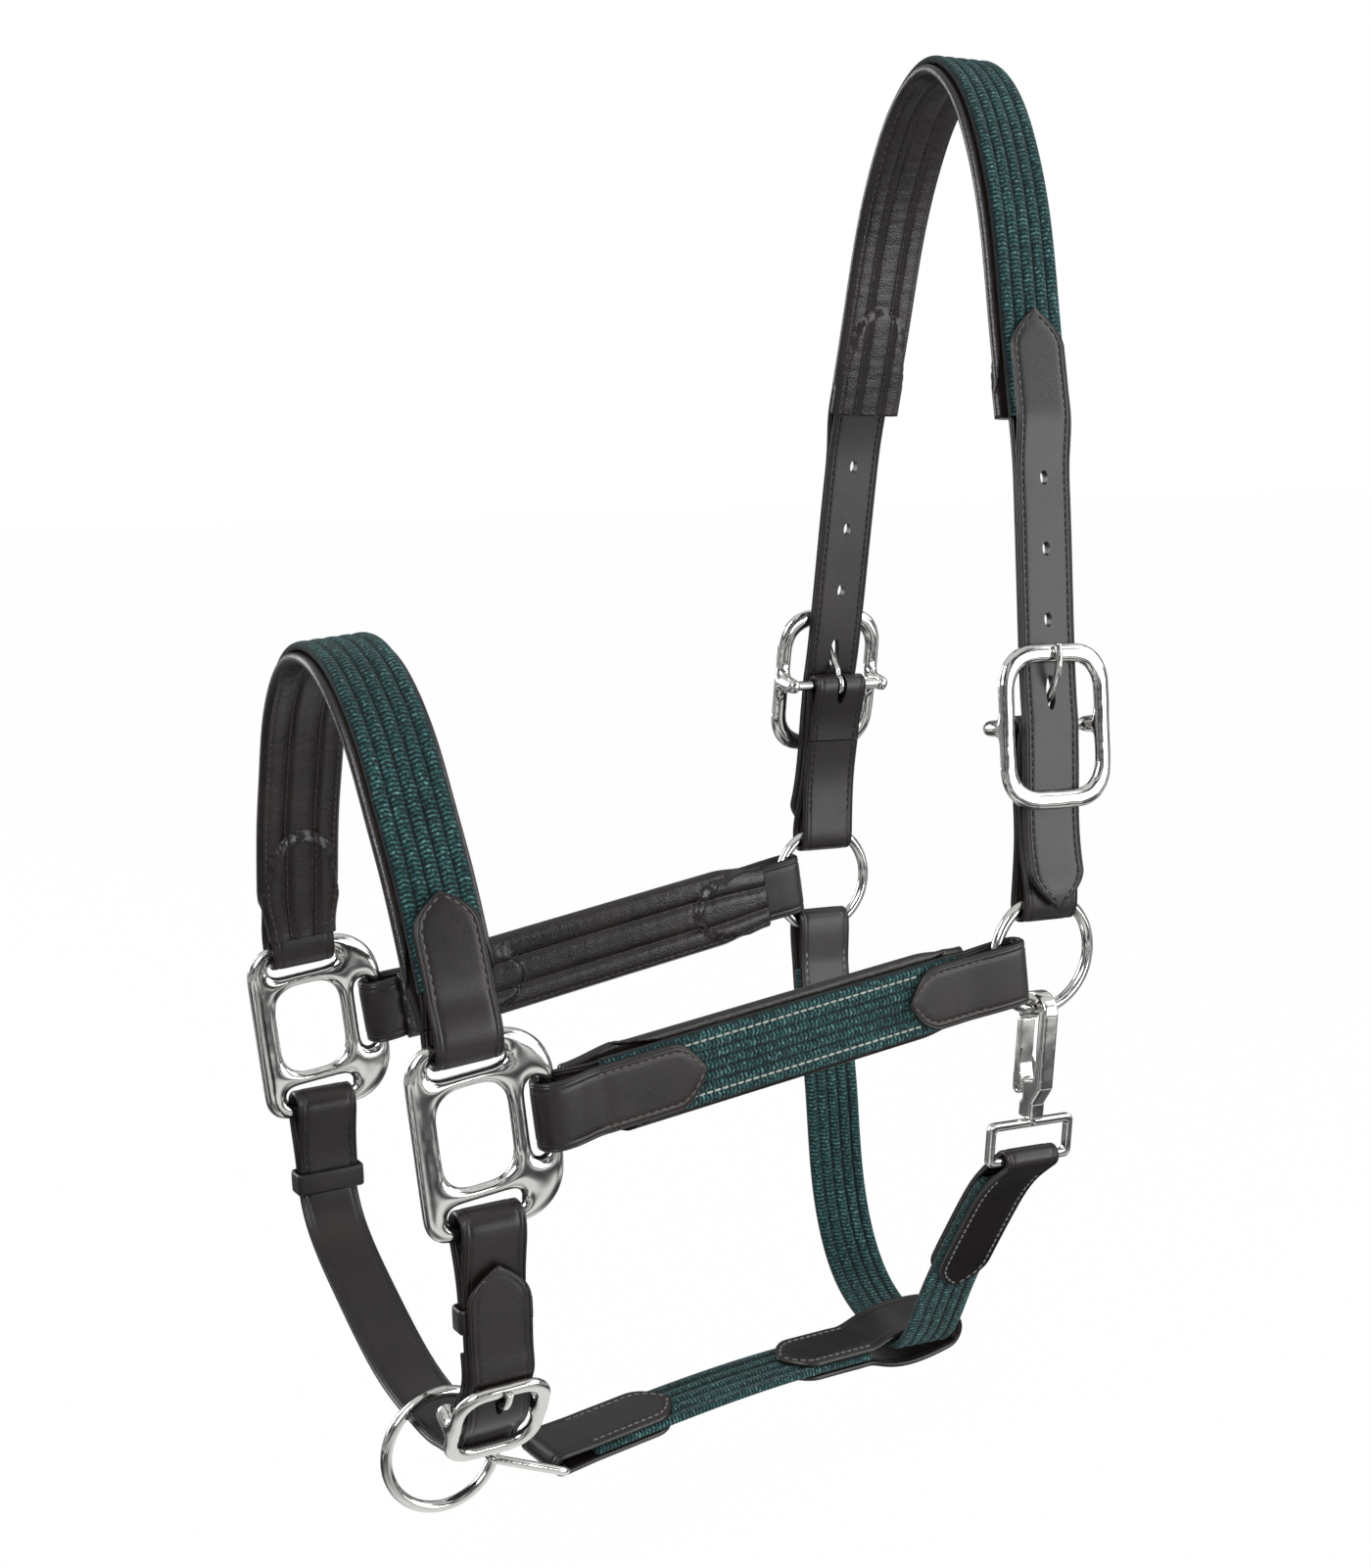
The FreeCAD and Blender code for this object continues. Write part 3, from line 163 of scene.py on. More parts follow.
def walk(points, start=0.0, end=None, step=1.2):
    # even steps along a route: spots, directions and left-hand normals
    dense = spline(points)
    run = np.concatenate([[0], np.cumsum(np.linalg.norm(np.diff(dense, axis=0), axis=1))])
    finish = run[-1] if end is None else end
    at = np.linspace(start, finish, max(2, int(abs(finish - start) / step) + 1))
    slope = np.gradient(dense, run, axis=0)
    spots = np.stack([np.interp(at, run, dense[:, k]) for k in (0, 1)], axis=1)
    along = np.stack([np.interp(at, run, slope[:, k]) for k in (0, 1)], axis=1)
    along /= np.linalg.norm(along, axis=1)[:, None]
    normal = np.stack([-along[:, 1], along[:, 0]], axis=1)
    return {"at": at, "spots": spots, "along": along, "normal": normal, "length": run[-1]}


def beside(points, offset, start, end, count):
    steps = np.linspace(start, end, count + 1)
    path = walk(points, 0, None, 0.5)
    spots = path["spots"] + path["normal"] * offset
    return [tuple(np.interp(s, path["at"], spots[:, k]) for k in (0, 1)) for s in steps]


def turn(centre, radius, first, last, count=6):
    angles = np.radians(np.linspace(first, last, count + 1))
    return [(centre[0] + radius * math.cos(a), centre[1] + radius * math.sin(a)) for a in angles]


def fold(points, wrap, hold, settle, lap, tip):
    # a strap end folded round the bar at the first point
    middle = (hold + settle) / 2
    along = walk(points, 0, 2.0)["along"][0]
    facing = math.degrees(math.atan2(along[1], along[0]))
    left = beside(points, lap, tip, settle, 8)
    left += beside(points, (lap + wrap) / 2, middle, middle, 0)
    left += beside(points, wrap, hold, hold, 0)
    right = beside(points, -wrap, hold, hold, 0)
    right += beside(points, -(lap + wrap) / 2, middle, middle, 0)
    right += beside(points, -lap, settle, tip, 8)
    return left + turn(points[0], wrap, facing + 90, facing + 270) + right


# strap meshes
def smoothStep(value):
    eased = np.clip(value, 0, 1)
    return eased * eased * (3 - 2 * eased)


def halfWidths(at, width, tipStart, tipEnd, fullness=2.3):
    # half width at each step, drawn in to a gothic point at pointed ends
    half = np.full(len(at), width / 2)
    for tip, reach in ((tipStart, at - at[0]), (tipEnd, at[-1] - at)):
        if tip:
            share = np.clip(reach / tip, 0, 1)
            half = np.minimum(half, width / 2 * np.clip(1 - (1 - share) ** fullness, 0.035, 1))
    return half


def meshPiece(name, spots, faces, lay, material, body, nodes=()):
    mesh = bpy.data.meshes.new(name)
    mesh.from_pydata(spots, [], faces)
    if lay is not None:
        uv = mesh.uv_layers.new(name="lay")
        loops = np.zeros(len(mesh.loops), int)
        mesh.loops.foreach_get("vertex_index", loops)
        uv.data.foreach_set("uv", (np.asarray(lay)[loops] / 100).astype(np.float32).ravel())
    mesh.shade_smooth()
    mesh.validate()
    piece = bpy.data.objects.new(name, mesh)
    scene.collection.objects.link(piece)
    mesh.materials.append(material)
    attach(piece, body)
    if nodes:
        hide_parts(*nodes)
    return piece


def bandMesh(path, place, half, across, low, high):
    # rows of points round the strap at each step; low and high give its two faces
    count = len(path["at"])
    q = across[None, :] * half[:, None]
    lower = low(q, path["at"][:, None], half[:, None])
    upper = high(q, path["at"][:, None], half[:, None])
    q = np.concatenate([q, q[:, ::-1]], axis=1)
    off = np.concatenate([upper, lower[:, ::-1]], axis=1)
    spots = np.zeros((count, q.shape[1], 3))
    spots[:, :, 0] = path["spots"][:, :1] + path["normal"][:, :1] * off
    spots[:, :, 2] = path["spots"][:, 1:] + path["normal"][:, 1:] * off
    spots[:, :, 1] = q
    lay = np.stack([np.broadcast_to(path["at"][:, None], q.shape), q], axis=2).reshape(-1, 2)
    matrix = np.array(place)
    flatSpots = spots.reshape(-1, 3) @ matrix[:3, :3].T + matrix[:3, 3]
    ring = q.shape[1]
    grid = np.arange(count * ring).reshape(count, ring)
    nextColumn = np.roll(grid, -1, axis=1)
    quads = np.stack([grid[:-1], nextColumn[:-1], nextColumn[1:], grid[1:]], axis=-1).reshape(-1, 4)
    if np.linalg.det(matrix[:3, :3]) < 0:
        quads = quads[:, ::-1]
    faces = quads.tolist() + [grid[0].tolist()[::-1], grid[-1].tolist()]
    return flatSpots * mm, faces, lay


edgeSteps = np.array([0, 0.1, 0.3, 0.6, 0.95, 1.2, 1.35, 1.5, 1.75, 2.2, 2.6, 2.85, 3.1, 3.35, 3.6, 4.1, 5.2, 7.5])


def leatherAcross(width):
    inner = width / 2 - edgeSteps
    inner = inner[inner > 0]
    return np.concatenate([-inner, [0], inner[::-1]]) / (width / 2)


def leatherFace(thick, sewn, crease=0.26, crown=0.14):
    # rounded edge, a creased line beside it, a shallow sewing channel and a slightly full middle
    def face(q, at, half):
        edge = (half - np.abs(q))
        rounding = 0.5 * thick * (1 - np.clip(edge / 0.95, 0, 1)) ** 2.2
        groove = crease * np.exp(-((edge - 1.35) / 0.2) ** 2)
        if sewn:
            groove = groove + 0.2 * np.exp(-((edge - stitching["inset"]) / 0.45) ** 2)
        rise = crown * smoothStep(edge / 6)
        return thick / 2 - rounding - groove + rise - crown
    return face


def leatherStrap(
    name, body, place, line, width, nodes, thick=leather, tips=(0, 0), sew=(), cuts=(), thread="thread", fullness=2.3,
):
    # sew lists the seams along both edges: from, to and the face they show on
    path = walk(line, 0, None, 1.1)
    half = halfWidths(path["at"], width, *tips, fullness)
    face = leatherFace(thick, bool(sew))
    spots, faces, lay = bandMesh(path, place, half, leatherAcross(width), lambda q, at, h: -face(q, at, h), face)
    piece = meshPiece(name, spots, faces, lay, finishes["leather"], body, nodes)
    for cut in cuts:
        punch(piece, cut)
    if sew:
        sewStrap(name + "Stitches", body, place, path, half, thick, sew, thread)
    return piece


def punch(piece, cutter):
    bpy.context.view_layer.update()
    tool = piece.modifiers.new("punch", "BOOLEAN")
    tool.object = cutter
    tool.operation = "DIFFERENCE"
    tool.solver = "EXACT"
    shaped = bpy.data.meshes.new_from_object(piece.evaluated_get(bpy.context.evaluated_depsgraph_get()))
    shaped.set_sharp_from_angle(angle=math.radians(50))
    piece.modifiers.remove(tool)
    piece.data = shaped
    mesh = cutter.data
    bpy.data.objects.remove(cutter)
    bpy.data.meshes.remove(mesh)


def ovalCutter(place, spot, wide, tall, lean=0.0):
    # an upright oval post through a strap, in the strap's frame
    points = []
    reach, rim = 14, 20
    for x in (-reach, reach):
        for k in range(rim):
            a = 2 * math.pi * k / rim
            points.append((x, wide / 2 * math.cos(a), tall / 2 * math.sin(a)))
    faces = [[k, (k + 1) % rim, rim + (k + 1) % rim, rim + k] for k in range(rim)]
    faces += [list(range(rim - 1, -1, -1)), list(range(rim, 2 * rim))]
    matrix = place @ turned(lean, "Y", (spot[0], 0, spot[1]))
    mesh = bpy.data.meshes.new("post")
    mesh.from_pydata([(matrix @ Vector(p)) * mm for p in points], [], faces)
    cutter = bpy.data.objects.new("post", mesh)
    scene.collection.objects.link(cutter)
    return cutter


def capsule():
    # one stitch along x, flattened against the strap
    rings = []
    for x, r in ((-1, 0.25), (-0.72, 0.8), (0, 1.0), (0.72, 0.8), (1, 0.25)):
        for k in range(6):
            a = 2 * math.pi * k / 6
            rings.append((x, r * math.cos(a), r * math.sin(a)))
    faces = []
    for j in range(4):
        for k in range(6):
            faces.append([j * 6 + k, j * 6 + (k + 1) % 6, (j + 1) * 6 + (k + 1) % 6, (j + 1) * 6 + k])
    faces += [[5, 4, 3, 2, 1, 0], [24, 25, 26, 27, 28, 29]]
    return np.array(rings), np.array(faces[:-2]), faces[-2:]


stitchSpots, stitchSides, stitchEnds = capsule()


def stitchMesh(name, body, rows, material, size=1.0):
    # rows holds lists of (spot, outward) along each seam, in millimetres in the part's frame
    spots, faces = [], []
    for row in rows:
        line = np.array([item[0] for item in row])
        out = np.array([item[1] for item in row])
        run = np.concatenate([[0], np.cumsum(np.linalg.norm(np.diff(line, axis=0), axis=1))])
        number = max(1, int(run[-1] / stitching["pitch"]))
        for k in range(number):
            at = run[-1] * (k + 0.5) / number
            reach = stitching["length"] / 2 * size
            a = np.array([np.interp(at - reach, run, line[:, j]) for j in range(3)])
            b = np.array([np.interp(at + reach, run, line[:, j]) for j in range(3)])
            up = np.array([np.interp(at, run, out[:, j]) for j in range(3)])
            x = (b - a) / max(np.linalg.norm(b - a), 1e-6)
            up = up - x * np.dot(up, x)
            up /= max(np.linalg.norm(up), 1e-6)
            y = np.cross(up, x)
            middle = (a + b) / 2 + up * 0.08
            thick = stitching["thick"] / 2 * size
            local = stitchSpots * np.array([reach, thick, thick * 0.75])
            base = len(spots)
            spots.extend((middle + local[:, :1] * x + local[:, 1:2] * y + local[:, 2:] * up) * mm)
            faces.extend((stitchSides + base).tolist())
            faces.extend([[i + base for i in end] for end in stitchEnds])
    return meshPiece(name, spots, faces, None, material, body)


def seamSpot(path, place, step, q, off, side):
    # a place at q across and off from the middle, and the way out of the face it shows on
    matrix = np.array(place)
    x, z = path["normal"][step]
    spot = np.array([path["spots"][step][0] + x * off, q, path["spots"][step][1] + z * off])
    return matrix[:3, :3] @ spot + matrix[:3, 3], matrix[:3, :3] @ np.array([x, 0, z]) * side


def seamRow(path, place, q, off, first, last, side):
    steps = [step for step, at in enumerate(path["at"]) if first <= at <= last]
    return [seamSpot(path, place, step, q[step], off[step], side) for step in steps]


def sewStrap(name, body, place, path, half, thick, sew, thread):
    rows = []
    count = len(path["at"])
    for first, last, side in sew:
        end = path["at"][-1] if last is None else last
        for edge in (-1, 1):
            q = edge * np.clip(half - stitching["inset"], 0, None)
            row = seamRow(path, place, q, np.full(count, side * (thick / 2 - 0.27)), first, end, side)
            sewn = half[(path["at"] >= first) & (path["at"] <= end)]
            inside = [item for item, wide in zip(row, sewn) if wide > stitching["inset"] + 0.3]
            if len(inside) > 3:
                rows.append(inside)
    return stitchMesh(name, body, rows, finishes[thread])


braid = {"pitch": 1.7, "slope": 0.42, "depth": 0.10}


def webFace(cords, width, lift, flatSide=False):
    # tubes side by side, each braided in small chevrons
    pitch = width / cords

    def face(q, at, half):
        if flatSide:
            return np.full(np.broadcast_shapes(q.shape, at.shape), web / 2 - 0.5)
        place = (q + width / 2) / pitch
        u = 2 * (place - np.floor(np.clip(place, 0, cords - 1e-6))) - 1
        bulge = np.sqrt(np.clip(1 - 0.97 * u * u, 0, 1))
        chevron = np.sin(2 * math.pi * (at / braid["pitch"] + np.abs(u) * braid["slope"]))
        weave = braid["depth"] * chevron * np.sqrt(np.clip(1 - u * u, 0, 1))
        return web / 2 - lift * (1 - bulge) + weave
    return face


def webAcross(cords):
    u = np.array([-0.995, -0.9, -0.72, -0.45, -0.15, 0.15, 0.45, 0.72, 0.9, 0.995])
    return np.concatenate([(2 * k + 1 + u) / cords - 1 for k in range(cords)])


def chape(name, place, route, width, node, seam, thread):
    # a strap end folded round a bar or a ring, pointed at both tips and sewn along them
    length = walk(route)["length"]
    sew = [(2, seam, -1), (length - seam, None, -1)]
    leatherStrap(name, "headcollar", place, route, width, [node], tips=pointed, sew=sew, thread=thread)


def webStrap(
    name, body, place, line, width, nodes, span, ridged=(1, -1), cords=strapStuff["cords"], lift=1.25, finish="webbing",
):
    # ridged lists the faces that show their tubes; the other face lies on a lining
    path = walk(line, span[0], span[1], 0.42)
    half = np.full(len(path["at"]), width / 2)
    ridge = webFace(cords, width, lift)
    plain = webFace(cords, width, lift, True)
    upper = ridge if 1 in ridged else plain
    lower = ridge if -1 in ridged else plain
    spots, faces, lay = bandMesh(path, place, half, webAcross(cords), lambda q, at, h: -lower(q, at, h), upper)
    return meshPiece(name, spots, faces, lay, finishes[finish], body, nodes)


# finishes
def newFinish(name):
    material = bpy.data.materials.new(name)
    material.use_nodes = True
    nodes = material.node_tree.nodes
    shader = nodes["Principled BSDF"]
    return material, nodes, material.node_tree.links, shader


def addNode(nodes, kind, **values):
    made = nodes.new(kind)
    for key, value in values.items():
        if hasattr(made, key):
            setattr(made, key, value)
        else:
            made.inputs[key.replace("_", " ")].default_value = value
    return made


def sums(nodes, links, operation, *values):
    made = nodes.new("ShaderNodeMath")
    made.operation = operation
    for slot, value in zip(made.inputs, values):
        if isinstance(value, (int, float)):
            slot.default_value = value
        else:
            links.new(value, slot)
    return made.outputs[0]


def ramp(nodes, links, source, stops):
    made = nodes.new("ShaderNodeValToRGB")
    marks = made.color_ramp.elements
    while len(marks) < len(stops):
        marks.new(0.5)
    for mark, (place, colour) in zip(marks, stops):
        mark.position = place
        mark.color = (*colour, 1)
    links.new(source, made.inputs["Fac"])
    return made.outputs["Color"]


def noise(nodes, links, scale, detail, **values):
    made = addNode(nodes, "ShaderNodeTexNoise", Scale=scale, Detail=detail, **values)
    links.new(nodes.new("ShaderNodeTexCoord").outputs["Object"], made.inputs["Vector"])
    return made.outputs[0]


def raised(nodes, links, shader, height, strength, depth):
    bump = addNode(nodes, "ShaderNodeBump", Strength=strength, Distance=depth)
    links.new(height, bump.inputs["Height"])
    links.new(bump.outputs[0], shader.inputs["Normal"])


leatherLook = {
    "dark": (0.0048, 0.0034, 0.0031),
    "pale": (0.0150, 0.0108, 0.0096),
    "grain": 1300.0,
    "depth": 0.000035,      # of the grain, in metres
    "rough": (0.27, 0.40),
    "shine": 0.55,
}
liningLook = {
    "dark": (0.0056, 0.0041, 0.0037),
    "pale": (0.0175, 0.0128, 0.0115),
    "grain": 700.0,
    "depth": 0.00009,
    "rough": (0.24, 0.38),
    "shine": 0.6,
}


def leatherFinish(name, look):
    material, nodes, links, shader = newFinish(name)
    cloud = noise(nodes, links, 38.0, 5.0, Roughness=0.6)
    fine = noise(nodes, links, look["grain"] * 1.6, 3.0)
    stretch = noise(nodes, links, 120.0, 4.0, Distortion=0.6)
    pores = addNode(nodes, "ShaderNodeTexVoronoi", Scale=look["grain"], feature="DISTANCE_TO_EDGE")
    links.new(nodes.new("ShaderNodeTexCoord").outputs["Object"], pores.inputs["Vector"])
    mixed = sums(nodes, links, "MULTIPLY_ADD", cloud, 0.7, sums(nodes, links, "MULTIPLY", stretch, 0.3))
    colour = ramp(nodes, links, mixed, [(0.33, look["dark"]), (0.68, look["pale"])])
    links.new(colour, shader.inputs["Base Color"])
    smooth, dull = look["rough"]
    links.new(sums(nodes, links, "MULTIPLY_ADD", cloud, dull - smooth, smooth), shader.inputs["Roughness"])
    pit = sums(nodes, links, "MINIMUM", sums(nodes, links, "MULTIPLY", pores.outputs["Distance"], 3.5), 1.0)
    height = sums(nodes, links, "MULTIPLY_ADD", fine, 0.5, pit)
    height = sums(nodes, links, "MULTIPLY_ADD", stretch, 1.2, height)
    raised(nodes, links, shader, height, 0.55, look["depth"])
    shader.inputs["Specular IOR Level"].default_value = look["shine"]
    return material


webbingLook = {
    # the darkest colour is painted shade, laid where the tubes meet
    "valleyShade": (0.0018, 0.0062, 0.0068),
    "dark": (0.0044, 0.0290, 0.0315),
    "yarn": (0.0360, 0.1180, 0.1200),
    "fleck": (0.1900, 0.3600, 0.3500),
}


def webbingFinish(name, cords):
    # dark teal braid: chevrons of paler yarn on each tube, with painted shade between the tubes
    material, nodes, links, shader = newFinish(name)
    lay = addNode(nodes, "ShaderNodeUVMap", uv_map="lay")
    split = nodes.new("ShaderNodeSeparateXYZ")
    links.new(lay.outputs[0], split.inputs[0])
    along = sums(nodes, links, "MULTIPLY", split.outputs[0], 100.0)
    across = sums(nodes, links, "MULTIPLY_ADD", split.outputs[1], 100.0 * cords / webWidth, cords / 2)
    u = sums(nodes, links, "MULTIPLY_ADD", sums(nodes, links, "FRACT", across), 2.0, -1.0)
    u = sums(nodes, links, "ABSOLUTE", u)
    phase = sums(nodes, links, "ADD", sums(nodes, links, "DIVIDE", along, braid["pitch"]),
                 sums(nodes, links, "MULTIPLY", u, braid["slope"]))
    chevron = sums(nodes, links, "SINE", sums(nodes, links, "MULTIPLY", phase, 2 * math.pi))
    yarn = sums(nodes, links, "SINE", sums(nodes, links, "MULTIPLY", phase, 8 * math.pi))
    fuzz = noise(nodes, links, 850.0, 3.0)
    patch = noise(nodes, links, 60.0, 3.0)
    tone = sums(nodes, links, "MULTIPLY_ADD", chevron, 0.24, 0.42 - 0.85 - 0.15)
    # the power of u darkens each tube towards its edges: painted shade between the tubes
    for part, share in ((yarn, 0.04), (fuzz, 1.7), (patch, 0.3), (sums(nodes, links, "POWER", u, 5.0), -0.5)):
        tone = sums(nodes, links, "MULTIPLY_ADD", part, share, tone)
    colour = ramp(nodes, links, tone, [
        (0.02, webbingLook["valleyShade"]), (0.38, webbingLook["dark"]),
        (0.72, webbingLook["yarn"]), (1.0, webbingLook["fleck"]),
    ])
    links.new(colour, shader.inputs["Base Color"])
    shader.inputs["Roughness"].default_value = 0.82
    shader.inputs["Specular IOR Level"].default_value = 0.25
    shader.inputs["Sheen Weight"].default_value = 0.08
    shader.inputs["Sheen Roughness"].default_value = 0.5
    raised(nodes, links, shader, sums(nodes, links, "MULTIPLY_ADD", yarn, 0.35, fuzz), 0.7, 0.0003)
    return material


nickelLook = {"colour": (0.70, 0.69, 0.67), "rough": (0.05, 0.16)}


def nickelFinish(name, look):
    material, nodes, links, shader = newFinish(name)
    cloud = noise(nodes, links, 90.0, 4.0)
    warm = tuple(value * 0.93 for value in look["colour"])
    colour = ramp(nodes, links, cloud, [(0.35, warm), (0.65, look["colour"])])
    links.new(colour, shader.inputs["Base Color"])
    smooth, dull = look["rough"]
    links.new(sums(nodes, links, "MULTIPLY_ADD", cloud, dull - smooth, smooth), shader.inputs["Roughness"])
    shader.inputs["Metallic"].default_value = 1.0
    raised(nodes, links, shader, noise(nodes, links, 95.0, 1.0), 0.30, 0.0006)
    return material


def threadFinish(name, colour):
    material, nodes, links, shader = newFinish(name)
    twist = noise(nodes, links, 2400.0, 1.0)
    deep = tuple(value * 0.5 for value in colour)
    links.new(ramp(nodes, links, twist, [(0.3, deep), (0.7, colour)]), shader.inputs["Base Color"])
    shader.inputs["Roughness"].default_value = 0.6
    raised(nodes, links, shader, twist, 0.5, 0.0001)
    return material


finishes = {
    "leather": leatherFinish("bridleLeather", leatherLook),
    "lining": leatherFinish("liningLeather", liningLook),
    "webbing": webbingFinish("braidedWebbing", strapStuff["cords"]),
    "webbingFine": webbingFinish("braidedWebbingFine", strapStuff["fineCords"]),
    "thread": threadFinish("blackThread", (0.0030, 0.0026, 0.0025)),
    # painted highlight: the black thread of the nose and cheek chapes is drawn mid grey, as it looks where light
    # catches it
    "softThread": threadFinish("softThread", (0.115, 0.100, 0.092)),
    "greyThread": threadFinish("greyThread", (0.24, 0.23, 0.22)),
    "brownThread": threadFinish("brownThread", (0.060, 0.050, 0.045)),
    "paleThread": threadFinish("paleThread", (0.46, 0.50, 0.46)),
    "nickel": nickelFinish("polishedNickel", nickelLook),
}
print("finishes made")


# crown: side straps up from the rings, buckles, billets and the arch over the poll
crownSizes = {
    "shoulder": 59.0,       # half width where the billets end
    "shoulderDrop": 135.0,
    "buckleRise": 90.0,     # centre bar above the ring centre
    "straight": 25.0,       # upright part above the ring
    "lap": 42.0,            # billet tips up the webbing
    "firstHole": 41.5,      # above the centre bar
    "holePitch": 27.5,
    "hole": (3.6, 5.8),     # width and height
    "tongueHole": (4.4, 14.0),
    "barSlot": (4.8, 17.0),
    "fullness": 1.65,       # of the billets' points
}
ringWrap = ringWire / 2 + playSizes["ring"] + leather / 2
wrapRise = math.sqrt(ringRadius ** 2 - (strapWidth / 2) ** 2)
ringHold = ringRadius + ringWire / 2 + 1.0
plyOff = leather / 2 + gap + 0.05
cover = leather + gap + ply + 0.1
billetOut = plyOff + cover
barRise = crownSizes["buckleRise"]
barWrap = barSizes["buckle"] + playSizes["buckle"] + leather / 2
eyeReach = barSizes["buckle"] + 0.2 + 2.8       # the tongue's eye stands this far off the bar's middle

straight = crownSizes["straight"]
lineStart = Vector((sidePlane, ringZ + straight))
lineEnd = Vector((crownSizes["shoulder"], -crownSizes["shoulderDrop"]))
lineLength = (lineEnd - lineStart).length
sideAlong = (lineEnd - lineStart).normalized()
sideOut = Vector((sideAlong.y, -sideAlong.x))
sideTurn = math.degrees(math.atan2(sideAlong.x, sideAlong.y))


def side(rise, out):
    # a place beside the crown's side strap, rise above the ring and out from the horse
    if rise <= straight:
        return (sidePlane + out, ringZ + rise)
    spot = lineStart + sideAlong * (rise - straight) + sideOut * out
    return (spot.x, spot.y)


chapeLine = [
    side(barRise - 25.2, -plyOff), side(barRise - 44, -plyOff),
    side(wrapRise + 16, -(plyOff + ringWrap) / 2), side(ringHold, -ringWrap),
]
chapeLine += turn(side(wrapRise, 0), ringWrap, 180, 360)
chapeLine += [
    side(ringHold, ringWrap), side(wrapRise + 16, (plyOff + ringWrap) / 2),
    side(barRise - 44, plyOff), side(barRise - 28, plyOff),
    side(barRise - 14, plyOff + 0.5), side(barRise - 6, barWrap * 0.86),
]
chapeLine += turn(side(barRise, 0), barWrap, -sideTurn, 180 - sideTurn)
chapeLine += [
    side(barRise - 6, -barWrap * 0.86), side(barRise - 14, -plyOff - 0.3), side(barRise - 24.8, -plyOff),
]
barOut = eyeReach + playSizes["buckle"] + ply + 0.05
billetWay = [
    (wrapRise + 1, ringWrap + cover + 0.1), (ringHold + 0.5, ringWrap + cover + 0.05),
    (wrapRise + 16, (plyOff + ringWrap) / 2 + cover + 0.1),
    (barRise - 44, billetOut), (barRise - 28, billetOut), (barRise - 14, billetOut + 0.7),
    (barRise - 5, barOut - 0.2), (barRise, barOut), (barRise + 5, barOut - 0.3),
    (barRise + 14, billetOut + 0.3), (barRise + 28, billetOut), (barRise + 50, billetOut),
    (lineLength + straight - 30, billetOut),
]
apex = strapStuff["pad"] + gap + web / 2
crownHalf = [side(lineLength + straight + 2, billetOut)]
crownHalf += [
    (crownSizes["shoulder"] * across, apex - (crownSizes["shoulderDrop"] + apex) * down)
    for across, down in ((0.935, 0.696), (0.787, 0.435), (0.575, 0.212), (0.305, 0.058))
]
crownLine = crownHalf + [(0, apex)] + [(-x, z) for x, z in reversed(crownHalf)]
lapOut = web / 2 + gap + ply / 2
holeRises = [barRise + crownSizes["firstHole"] + crownSizes["holePitch"] * number for number in range(3)]

for name, mirror in bothSides:
    place = poll @ mirror
    low = name.lower()
    slot = ovalCutter(place, side(barRise + 0.5, 0), *crownSizes["barSlot"], sideTurn)
    length = walk(chapeLine)["length"]
    leatherStrap(
        "crownChape" + name, "headcollar", place, chapeLine, strapWidth, ["crown_chape_" + low],
        sew=[(1, 34, -1), (68, length * 0.5 + 26, -1), (length - 14, None, -1)], cuts=[slot],
    )
    for layer, sign in (("Outer", 1), ("Inner", -1)):
        line = [side(rise, out + sign * (ply + 0.1) / 2) for rise, out in billetWay]
        line.append(side(lineLength + straight - 15, billetOut + sign * (ply / 2 + 0.35)))
        line += beside(crownLine, -sign * lapOut, 0, crownSizes["lap"], 6)
        cuts = [ovalCutter(place, side(barRise + 13.2, 0), *crownSizes["tongueHole"], sideTurn)]
        cuts += [ovalCutter(place, side(rise, 0), *crownSizes["hole"], sideTurn) for rise in holeRises]
        leatherStrap(
            "billet" + layer + name, "headcollar", place, line, strapWidth,
            ["billet_" + layer.lower() + "_" + low],
            thick=ply, tips=pointed, sew=[(2, None, -sign)], cuts=cuts, fullness=crownSizes["fullness"],
        )
print("crown straps made")


padLook = {
    "channel": 1.6,         # depth of the two sewn channels
    "channelAt": 0.36,      # their place, as a share of the half width
    "edge": 0.45,           # depth of the seam beside each rolled edge
    "edgeAt": 0.83,
    "wrinkle": 0.07,
}


